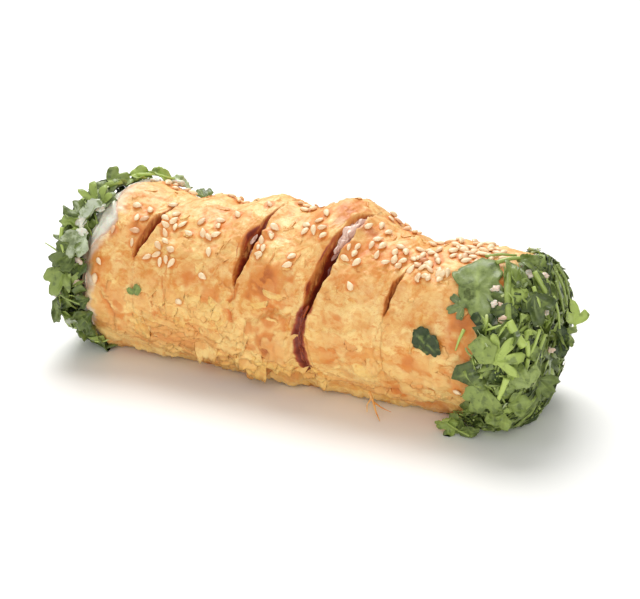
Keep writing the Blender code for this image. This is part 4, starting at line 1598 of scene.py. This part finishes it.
def coat_spot(end, rng):
    """A random place on what is covered of a coat, spread evenly over its surface, and its normal."""
    roundness = ENDS[end][4]
    on_face = rng.uniform(0, 1) < FACE_SHARE
    while True:
        share, phi = rng.uniform(0, 1), rng.uniform(-180, 180)
        if on_face:
            quarter = math.acos(share ** (0.5 / roundness))
            share = COAT_TURN + (1 - COAT_TURN) * quarter / (math.pi / 2)
            chance = 1.0
        else:
            quarter = max(share - COAT_TURN, 0) / (1 - COAT_TURN) * math.pi / 2
            chance = max(math.cos(quarter), 0.05) ** roundness
        cover = LAP_COVER if share < COAT_TURN else FACE_COVER
        if rng.uniform(0, 1) < chance * np.interp(phi, *np.array(cover[end]).T):
            break
    middle = (ENDS[end][0] * (HALF_LENGTH - 6 * MM), 0, AXIS_HEIGHT)
    return surface_frame(lambda a, b: coat_point(end, a, b), (share, phi), 0.02, 2, middle)


def kept_in(places, end):
    """Draws parsley that would stand out of the coat back towards its outline, and keeps it off the floor."""
    side, _, depth, face, roundness = ENDS[end]
    beyond = side * places[:, 0] - HALF_LENGTH
    beyond = np.where(beyond > face, face + 0.3 * (beyond - face), beyond)
    phi = np.degrees(np.arctan2(-places[:, 1], places[:, 2] - AXIS_HEIGHT))
    narrowed = np.clip(1 - np.clip(beyond / face, 0, 0.97) ** 2, 0, 1) ** (roundness / 2)
    room = (skin_radius(places[:, 0], phi) + by_side(depth, phi)) * narrowed
    reach = np.hypot(places[:, 1], places[:, 2] - AXIS_HEIGHT)
    held = np.where(reach > room, room + 0.35 * (reach - room), reach) / np.maximum(reach, 1e-9)
    kept = np.stack((
        side * (HALF_LENGTH + beyond),
        places[:, 1] * held,
        AXIS_HEIGHT + (places[:, 2] - AXIS_HEIGHT) * held,
    ), axis=1)
    return slimmed(kept)


def slimmed(places):
    """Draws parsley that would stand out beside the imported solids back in, and keeps it off the floor."""
    over = np.maximum(np.abs(places[:, 1]) - (CAD_BOX[1][1] - 1.0 * MM), 0)
    places[:, 1] -= np.sign(places[:, 1]) * 0.75 * over
    places[:, 2] = np.maximum(places[:, 2], 0.15 * MM)
    return places


CREAMED = 0.06  # share of the strewn bits with some cream on them


def scatter(heap, templates, end, rng, many, size, sink, shades, lay):
    """Adds copies over a coat, sunk by sink (from, to) and tilted out of it by about lay in radians."""
    for _ in range(many):
        point, outward = coat_spot(end, rng)
        template = templates[rng.integers(len(templates))]
        matrix = facing(point - outward * rng.uniform(*sink), outward, rng.uniform(0, 2 * math.pi),
                        rng.normal(0, lay), rng.normal(0, lay))
        places = placed(template, matrix, size * rng.uniform(0.65, 1.25))
        shade = np.clip(rng.normal(*shades), 0, 1)
        heap.add(template, kept_in(places, end), shade, 0.6 * (rng.uniform() < CREAMED))


def strew(name, end, rng, layers, finish, slot):
    """A piece of bits of parsley. A layer is its templates and what scatter takes from many to lay."""
    heap = Heap()
    for templates, *how in layers:
        scatter(heap, templates, end, rng, *how)
        for template in templates:
            bpy.data.meshes.remove(template)
    heap.show(name, finish, slot)


CORE_SINK = {"left": 5.6, "right": 4.0}  # in mm


def make_herb_core(end):
    """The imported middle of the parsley, smaller than its coat, behind the separate leaves."""
    columns, rows = 40, 120
    mesh, column, row = sheet_mesh(f"parsley_core_{end}", columns, rows)
    share = column / columns
    phi = -180 + 360 * row / rows
    outline = coat_point(end, share, phi)
    sink = (CORE_SINK[end] + 1.1 * grain(outline, 5 * MM, 81) + 0.8 * grain(outline, 2.2 * MM, 82)) * MM
    spots = coat_point(end, share, phi, sink, grown=-3.5 * MM)
    spots[column == 0] = coat_point(end, share, phi, 8 * MM, grown=-4 * MM)[column == 0]
    spots[:, 2] = np.maximum(spots[:, 2], 0.3 * MM)
    move_vertices(mesh, spots)
    close_seams(mesh, capped=True)
    add_piece(f"parsley_core_{end}", mesh, herb_core_finish(), [f"parsley_coat_{end}"])


# Leaves placed one by one: kind, x, y and z in mm, length in mm, heading in degrees from +X upwards, and
# fold, curl, roll, shade and cream
PLACED_LEAVES = {
    "right": (
        ("cut", 65.5, -28.6, 29.9, 12.0, 90, 0.35, 0.1, 0.0, 0.55, 0),
        ("sprig", 72.2, -26.0, 29.4, 11.5, 35, 0.3, 0.3, 0.0, 0.95, 0),
        ("cut", 61.0, -26.6, 21.5, 11.0, 205, 0.25, 0.5, 0.0, 0.16, 0),
        ("fan", 65.4, -28.0, 15.0, 10.0, 250, 0.3, 0.7, 0.0, 0.5, 0),
        ("cut", 70.8, -23.5, 7.6, 8.0, 0, 0.3, 0.5, 0.0, 0.55, 0),
        ("fan", 53.2, -22.4, 2.9, 8.0, 190, 0.2, 0.4, 2.2, 0.7, 0),
        ("oval", 60.0, -22.4, 2.0, 8.5, 10, 0.3, 0.4, 0.8, 0.3, 0),
        ("fan", 56.5, -20.5, 2.0, 7.0, 120, 0.3, 0.6, 1.0, 0.4, 0),
        ("trefoil", 78.0, 11.0, 29.0, 9.0, 60, 0.3, 0.2, 0.0, 1.0, 0),
        ("trefoil", 79.2, 2.6, 24.6, 7.5, -12, 0.3, 0.4, 0.8, 0.5, 0),
        ("oval", 78.2, 0.2, 24.5, 12.0, 262, 0.3, 0.5, 2.4, 0.0, 0),
        # Dark green, and darker as painted shadow where it lies deep in the right end.
        ("fan", 75.2, -14.2, 39.2, 10.0, 275, 0.3, 0.5, 0.8, 0.12, 0),
        ("fan", 70.9, -24.2, 34.2, 8.5, 235, 0.4, 0.6, 1.0, 0.22, 0),
        ("blade", 71.2, -6.4, 47.2, 11.0, -30, 0.4, 0.6, 0.0, 0.25, 0),
        ("blade", 73.2, 1.6, 46.2, 7.5, 75, 0.4, 0.4, 0.0, 0.0, 0),
        ("oval", 69.2, -3.6, 48.4, 8.5, 12, 0.6, 0.6, 1.6, 0.45, 0),
        ("fan", 67.0, -11.5, 46.9, 8.0, 95, 0.4, 0.8, 1.4, 0.45, 0),
        ("oval", 74.2, -9.0, 42.8, 10.0, -60, 0.5, 0.4, 1.6, 0.15, 0),
        ("cut", 76.4, -18.6, 27.5, 7.0, 60, 0.3, 0.3, 0.6, 0.42, 0),
        ("fan", 75.4, -22.4, 21.8, 8.5, 120, 0.3, 0.5, 0.4, 0.6, 0.1),
        ("oval", 73.2, -25.4, 23.6, 6.0, 80, 0.2, 0.2, 0.0, 0.75, 0),
        ("fan", 74.4, -21.2, 13.4, 8.0, 20, 0.3, 0.5, 0.6, 0.5, 0),
        ("cut", 67.6, -23.4, 8.6, 7.0, 30, 0.4, 0.4, 0.6, 0.45, 0),
        ("fan", 77.4, -9.8, 14.5, 8.0, 320, 0.3, 0.5, 0.8, 0.3, 0),
        ("oval", 72.0, -27.0, 19.0, 7.5, 200, 0.3, 0.4, 0.5, 0.4, 0),
    ),
    "left": (
        ("cut", -66.5, 9.2, 50.6, 10.0, 35, 0.5, 0.3, 0.8, 0.85, 0),
        ("oval", -61.0, 12.0, 51.0, 10.5, -5, 0.5, 0.3, 1.4, 0.8, 0),
        ("oval", -55.0, 15.0, 48.4, 8.5, -15, 0.4, 0.3, 1.0, 0.75, 0.7),
        ("fan", -48.4, 16.4, 45.2, 6.5, 85, 0.3, 0.3, 0.0, 0.3, 0),
        ("sprig", -69.8, -10.2, 50.0, 9.5, 88, 0.3, 0.2, 0.0, 0.75, 0),
        ("oval", -69.0, -15.6, 46.9, 10.5, 58, 0.3, 0.4, 0.6, 0.5, 1.0),
        ("fan", -66.6, -9.8, 48.2, 7.5, 45, 0.3, 0.5, 0.6, 0.35, 0.3),
        ("fan", -73.6, -14.6, 45.2, 8.0, 120, 0.4, 0.6, 1.2, 0.25, 0),
        ("oval", -73.8, -18.6, 42.4, 12.0, 172, 0.3, 0.5, 3.0, 0.6, 0),
        ("oval", -72.4, -22.2, 39.4, 8.5, 232, 0.3, 0.4, 2.4, 0.95, 0),
        ("fan", -69.0, -24.2, 37.6, 10.0, 240, 0.4, 0.5, 0.6, 0.4, 0.7),
        ("fan", -73.0, -25.4, 33.6, 10.5, 212, 0.35, 0.6, 0.6, 0.25, 0),
        ("fan", -74.0, -27.2, 26.0, 11.0, 252, 0.35, 0.6, 0.6, 0.5, 0),
        ("oval", -77.6, -24.6, 14.8, 10.0, 272, 0.3, 0.3, 4.2, 0.25, 0.1),
        ("fan", -66.6, -27.0, 20.4, 6.0, 200, 0.4, 0.5, 1.2, 0.12, 0),
        ("fan", -67.4, -25.0, 13.2, 8.5, 230, 0.3, 0.6, 0.8, 0.2, 0),
        ("fan", -67.6, -20.6, 8.0, 8.5, 300, 0.4, 0.5, 1.0, 0.36, 0),
        ("oval", -68.2, -14.0, 3.6, 8.5, 340, 0.3, 0.4, 1.4, 0.12, 0),
        ("fan", -71.2, -19.6, 8.0, 7.5, 220, 0.4, 0.5, 1.0, 0.25, 0),
        ("oval", -72.4, -24.0, 28.6, 9.0, 30, 0.4, 0.4, 1.6, 0.2, 0.2),
        ("fan", -77.0, -16.0, 38.4, 9.5, 150, 0.3, 0.5, 0.8, 0.3, 0),
        ("fan", -76.4, -12.0, 43.6, 8.5, 110, 0.3, 0.6, 1.0, 0.15, 0),
        ("trefoil", -71.6, -4.0, 49.4, 9.5, 120, 0.3, 0.5, 0.5, 0.4, 0.2),
        ("fan", -70.4, 2.0, 50.2, 9.0, 60, 0.4, 0.5, 1.0, 0.55, 0),
    ),
}

# Stems placed one by one: points of x, y and z in mm, radius in mm, what is left of it at the tip, how dark
PLACED_STEMS = {
    "right": (
        (((65.4, -10.6, 47.0), (68.2, -17.6, 42.8), (70.4, -22.0, 37.4)), 1.1, 0.8, 0.5),
        (((70.6, -22.6, 37.4), (72.6, -22.8, 34.4), (75.0, -22.0, 30.6)), 1.3, 1.0, 0.0),
        (((72.0, -7.6, 47.0), (75.4, -8.2, 42.6), (77.4, -7.6, 38.0)), 0.8, 0.9, 0.25),
        (((70.8, -23.8, 36.8), (67.6, -25.0, 35.8), (64.4, -24.6, 34.2)), 0.55, 0.5, 0.0),
        (((70.0, -24.2, 36.2), (68.6, -25.6, 33.4), (66.6, -26.4, 30.8)), 0.5, 0.5, 0.05),
        (((58.5, -24.4, 33.4), (57.4, -25.2, 30.2), (56.6, -25.4, 27.2)), 0.55, 0.4, 0.0),
        (((56.8, -5.8, 48.4), (60.4, -3.8, 49.0), (64.6, -1.6, 48.6)), 0.5, 0.7, 0.35),
        (((61.0, -8.2, 48.0), (64.0, -5.4, 48.8), (67.0, -3.0, 48.8)), 0.7, 0.7, 0.25),
        (((75.4, -20.6, 31.6), (76.0, -20.2, 27.0), (75.4, -20.6, 22.6)), 0.75, 0.8, 0.0),
        (((77.2, -15.4, 33.6), (76.6, -17.8, 29.2), (75.0, -20.6, 24.6)), 0.5, 0.8, 0.1),
        (((77.6, -12.0, 31.0), (77.2, -15.4, 27.0), (76.4, -17.4, 21.6)), 0.55, 0.8, 0.2),
        (((72.4, -27.0, 22.6), (71.6, -27.6, 19.4), (70.2, -27.2, 15.6)), 1.0, 0.6, -0.1),
        (((52.0, -22.0, 3.8), (56.0, -22.8, 2.2), (61.0, -24.2, 1.6)), 0.4, 0.6, 0.3),
        (((76.6, -2.0, 43.0), (77.6, 0.0, 38.0), (78.4, 1.0, 33.0)), 0.45, 0.7, 0.55),
        (((75.4, 1.5, 44.6), (77.2, 3.4, 39.6), (78.2, 4.2, 34.0)), 0.4, 0.7, 0.45),
        (((74.6, 4.0, 45.6), (76.8, 6.0, 41.0), (78.0, 6.6, 35.0)), 0.4, 0.7, 0.6),
        (((77.4, -5.4, 39.8), (78.2, -3.4, 34.4), (78.6, -2.6, 29.4)), 0.45, 0.7, 0.3),
        (((73.4, -11.6, 44.2), (75.8, -12.8, 39.8), (76.8, -13.6, 35.4)), 0.6, 0.8, 0.15),
    ),
    "left": (
        (((-77.5, -21.8, 33.3), (-80.8, -21.0, 34.2), (-83.8, -19.9, 34.6)), 0.32, 0.5, 0.3),
        (((-74.5, -26.4, 21.2), (-70.5, -27.6, 20.6), (-66.4, -27.8, 19.9)), 0.38, 0.6, 0.45),
        (((-67.2, 8.0, 51.4), (-62.0, 10.6, 51.6), (-56.4, 13.4, 50.0)), 0.6, 0.6, 0.0),
        (((-75.8, -21.6, 41.4), (-75.2, -23.6, 37.6), (-73.4, -24.6, 34.6)), 0.7, 0.7, 0.05),
        (((-70.6, -9.6, 44.4), (-70.2, -10.4, 47.4), (-69.8, -10.4, 49.6)), 0.4, 0.9, 0.1),
    ),
}
PLACED_SIZE = 0.78  # what the lengths of the placed leaves are multiplied by
PLACED_SEED = 400
PLACED_TURN = 66  # x in mm from which placed leaves face more and more along the roll
NEAR_UP = Vector((0.42, -0.82, 0.40))  # where placed leaves face, besides outwards


def make_placed_herbs(end):
    """The leaves and stems that stand out on the near side of an end."""
    side = ENDS[end][0]
    heap = Heap()
    for index, entry in enumerate(PLACED_LEAVES[end]):
        kind, x, y, z, length, heading, fold, curl, roll, shade, cream = entry
        template = leaf_form(kind, PLACED_SEED + index, fold, curl, roll, 0.2)
        length = length * PLACED_SIZE
        outward = Vector((side * max(abs(x) - PLACED_TURN, 0) * 1.5, y, z - 23.5)).normalized()
        matrix = headed((x * MM, y * MM, z * MM), outward * 0.55 + NEAR_UP * 0.6, heading)
        places = slimmed(placed(template, matrix, length * MM))
        heap.add(template, places, shade, cream)
        bpy.data.meshes.remove(template)
    heap.show(f"parsley_sprigs_{end}", leaf_finish("parsley_sprig"), "leaf")
    heap = Heap()
    for points, radius, tip, shade in PLACED_STEMS[end]:
        stem = tube_between(points, radius, tip, 8, 8)
        heap.add(stem, vertex_places(stem), shade)
        bpy.data.meshes.remove(stem)
    heap.show(f"parsley_stalks_{end}", stem_finish(), "herbs")


# Of each end's strewn herbs: the random seed, and the share of the cut bits that it gets
STREWN = {"left": (101, 0.45), "right": (202, 1.0)}
STREWN_KINDS = ("fan", "fan", "sprig", "oval", "trefoil", "fan", "oval")


def make_leaves(end):
    """The herbs strewn over an end: small leaves, then cut bits and shreds of leaf, then stems."""
    sizes = bpy.context.scene.roll_sizes
    seed, share = STREWN[end]
    rng = np.random.default_rng(seed)
    leaves = [
        leaf_form(kind, index, 0.3, 0.6, rng.choice((0, 0.8, 1.6)), 0.12, 2, 24)
        for index, kind in enumerate(STREWN_KINDS)
    ]
    cuts = [cut_template(index) for index in range(8)]
    shreds = [shred_leaf_template(index) for index in range(5)]
    stems = [stem_template(index) for index in range(6)]
    many_cuts = int(sizes.cut_leaves * share)
    many_shreds = int(sizes.shreds * share * share)
    many_stems = int(sizes.stems * share * share)
    strew(f"parsley_leaves_{end}", end, rng, (
        (leaves, sizes.leaves, sizes.leaf_length, (-0.4 * MM, 2.6 * MM), (0.42, 0.3), 0.45),
    ), leaf_finish("parsley_leaf"), "leaf")
    strew(f"parsley_cuts_{end}", end, rng, (
        (cuts, many_cuts, 4.6 * MM, (0.4 * MM, 3.4 * MM), (0.36, 0.28), 0.55),
        (shreds, many_shreds, 5.5 * MM, (-0.2 * MM, 2.4 * MM), (0.5, 0.3), 0.3),
    ), leaf_finish("parsley_cut"), "leaf")
    strew(f"parsley_stems_{end}", end, rng, (
        (stems, many_stems, 8 * MM, (0.1 * MM, 2.4 * MM), (0.35, 0.3), 0.2),
    ), stem_finish(), "herbs")


# Leaves that lie on the crust: piece, node, kind, seed, x in mm, phi, yaw, length in mm, width as a share
# of its kind's, shade, cream
LAID_LEAVES = (
    ("parsley_leaf_large_laid", "parsley_leaf_large", "broad", 11, 58.8, 40, 72, 20.0, 0.84, 0.36, 0.05),
    ("parsley_leaf_lobe_laid", None, "trefoil", 15, 54.6, 56, 150, 4.8, 1.0, 0.3, 0.1),
    ("parsley_leaf_small_laid", "parsley_leaf_small", "broad", 13, 47.8, 81, 35, 9.4, 0.9, 0.0, 0.0),
    ("parsley_bit_laid", None, "oval", 14, -47.2, 82, -70, 3.6, 1.5, 0.38, 0.0),
    ("parsley_bit_small_laid", None, "oval", 16, -49.6, 84, 20, 2.8, 1.3, 0.38, 0.0),
)


def make_laid_leaves():
    """The leaves that stick to the crust near the right end, and the small bit near the left end."""
    for name, node, kind, seed, x, phi, yaw, length, width, shade, cream in LAID_LEAVES:
        template = leaf_form(kind, seed, 0.05, 0.0, 0.0, 0.1, rings=8, segments=72)
        places = vertex_places(template) * (length * MM, length * width * MM, length * 0.6 * MM)
        places[:, 2] = np.maximum(places[:, 2], -0.4 * MM) + 0.75 * MM
        move_vertices(template, laid_on_roll(places, x * MM, phi, yaw))
        paint(template, "shade", shade)
        paint(template, "cream", cream)
        template.name = name
        add_piece(name, template, leaf_finish(name), [node] if node else ())


# ------------------------------------------------------------------ stage


# Place and width of each light, and half the width of the floor, in metres
KEY_PLACE, KEY_WIDTH = (-0.36, 0.5, 1.0), 0.8
FILL_PLACE, FILL_WIDTH = (0.45, -1.1, 0.6), 1.0
FLOOR_REACH = 3


def make_stage():
    """The floor, the light from all round, and the two lamps."""
    choices = bpy.context.scene.stage_choices
    bm = bmesh.new()
    bmesh.ops.create_grid(bm, x_segments=2, y_segments=2, size=FLOOR_REACH)
    mesh = mesh_from(bm, "floor")
    floor = bpy.data.objects.new("floor", mesh)
    bpy.context.scene.collection.objects.link(floor)
    finish = Finish("pale_floor", roughness=0.5)
    mesh.materials.append(finish.done(tuple(choices.floor)))
    world = bpy.data.worlds.new("studio")
    world.use_nodes = True
    background = world.node_tree.nodes["Background"]
    background.inputs["Color"].default_value = (1, 1, 1, 1)
    background.inputs["Strength"].default_value = choices.sky
    bpy.context.scene.world = world
    add_light("key", KEY_PLACE, KEY_WIDTH, choices.key_power)
    add_light("fill", FILL_PLACE, FILL_WIDTH, choices.fill_power)


def add_light(name, place, size, power):
    """A square lamp that shines at the middle of the roll."""
    light = bpy.data.lights.new(name, "AREA")
    light.size = size
    light.energy = power
    lamp = bpy.data.objects.new(name, light)
    lamp.location = place
    lamp.rotation_euler = (Vector((0, 0, AXIS_HEIGHT)) - Vector(place)).to_track_quat("-Z", "Y").to_euler()
    bpy.context.scene.collection.objects.link(lamp)


# Where the camera is, in degrees and metres, and what it looks at
VIEW_AZIMUTH, VIEW_ELEVATION, VIEW_DISTANCE = 27.0, 23.7, 0.52
VIEW_AIM = (0.002, 0.0, 0.0238)


def make_camera():
    """The camera, on the near side and above."""
    camera = bpy.data.cameras.new("camera")
    camera.lens = bpy.context.scene.stage_choices.lens
    camera.clip_start = 0.01
    turn, rise = math.radians(VIEW_AZIMUTH), math.radians(VIEW_ELEVATION)
    back = Vector((math.sin(turn) * math.cos(rise), -math.cos(turn) * math.cos(rise), math.sin(rise)))
    rig = bpy.data.objects.new("camera", camera)
    rig.location = back * VIEW_DISTANCE
    rig.rotation_euler = (Vector(VIEW_AIM) - rig.location).to_track_quat("-Z", "Y").to_euler()
    bpy.context.scene.collection.objects.link(rig)
    bpy.context.scene.camera = rig


# ------------------------------------------------------------------ operators


class ROLL_OT_crust(bpy.types.Operator):
    """Model the slashed, baked crust"""

    bl_idname = "roll.crust"
    bl_label = "Crust"

    def execute(self, context):
        make_crust()
        return {"FINISHED"}


class ROLL_OT_filling(bpy.types.Operator):
    """Model the filling and the shreds of meat that show in the slashes"""

    bl_idname = "roll.filling"
    bl_label = "Filling"

    def execute(self, context):
        make_filling()
        make_shreds()
        return {"FINISHED"}


class ROLL_OT_sauce(bpy.types.Operator):
    """Model the run of sauce and the cream on both ends"""

    bl_idname = "roll.sauce"
    bl_label = "Sauce and cream"

    def execute(self, context):
        make_sauce()
        for end in ENDS:
            make_cream(end)
        make_dabs()
        return {"FINISHED"}


class ROLL_OT_flakes(bpy.types.Operator):
    """Model the loose flakes and strands of pastry"""

    bl_idname = "roll.flakes"
    bl_label = "Flakes"

    def execute(self, context):
        make_flakes()
        make_strands()
        return {"FINISHED"}


class ROLL_OT_seeds(bpy.types.Operator):
    """Sprinkle the sesame seeds"""

    bl_idname = "roll.seeds"
    bl_label = "Sesame seeds"

    def execute(self, context):
        make_seeds()
        return {"FINISHED"}


class ROLL_OT_parsley(bpy.types.Operator):
    """Press chopped parsley onto both ends and lay the loose leaves"""

    bl_idname = "roll.parsley"
    bl_label = "Parsley"

    def execute(self, context):
        for end in ENDS:
            make_herb_core(end)
            make_placed_herbs(end)
            make_leaves(end)
        make_laid_leaves()
        return {"FINISHED"}


class ROLL_OT_stage(bpy.types.Operator):
    """Set the floor, the lights and the camera"""

    bl_idname = "roll.stage"
    bl_label = "Stage"

    def execute(self, context):
        make_stage()
        make_camera()
        context.scene.view_settings.view_transform = "Standard"
        return {"FINISHED"}


class ROLL_PT_panel(bpy.types.Panel):
    """The steps that model the roll, in order"""

    bl_label = "Chicken Roll"
    bl_idname = "ROLL_PT_panel"
    bl_space_type = "VIEW_3D"
    bl_region_type = "UI"
    bl_category = "Roll"

    def draw(self, context):
        for operator in OPERATORS:
            self.layout.operator(operator.bl_idname)
        for group in (context.scene.roll_sizes, context.scene.roll_colours, context.scene.stage_choices):
            box = self.layout.box()
            for name in group.__annotations__:
                box.prop(group, name)


GROUPS = {"roll_sizes": RollSizes, "roll_colours": RollColours, "stage_choices": StageChoices}
OPERATORS = (
    ROLL_OT_stage, ROLL_OT_crust, ROLL_OT_filling, ROLL_OT_sauce, ROLL_OT_flakes, ROLL_OT_seeds,
    ROLL_OT_parsley,
)


def register():
    """Adds the add-on's classes and its settings of the scene."""
    for name, group in GROUPS.items():
        bpy.utils.register_class(group)
        setattr(bpy.types.Scene, name, PointerProperty(type=group))
    for operator in OPERATORS:
        bpy.utils.register_class(operator)
    bpy.utils.register_class(ROLL_PT_panel)


def unregister():
    """Takes them out again."""
    bpy.utils.unregister_class(ROLL_PT_panel)
    for operator in reversed(OPERATORS):
        bpy.utils.unregister_class(operator)
    for name, group in GROUPS.items():
        delattr(bpy.types.Scene, name)
        bpy.utils.unregister_class(group)


def main():
    """Models everything."""
    register()
    bpy.ops.roll.stage()
    bpy.ops.roll.crust()
    bpy.ops.roll.filling()
    bpy.ops.roll.sauce()
    bpy.ops.roll.flakes()
    bpy.ops.roll.seeds()
    bpy.ops.roll.parsley()


if __name__ == "__main__":
    main()
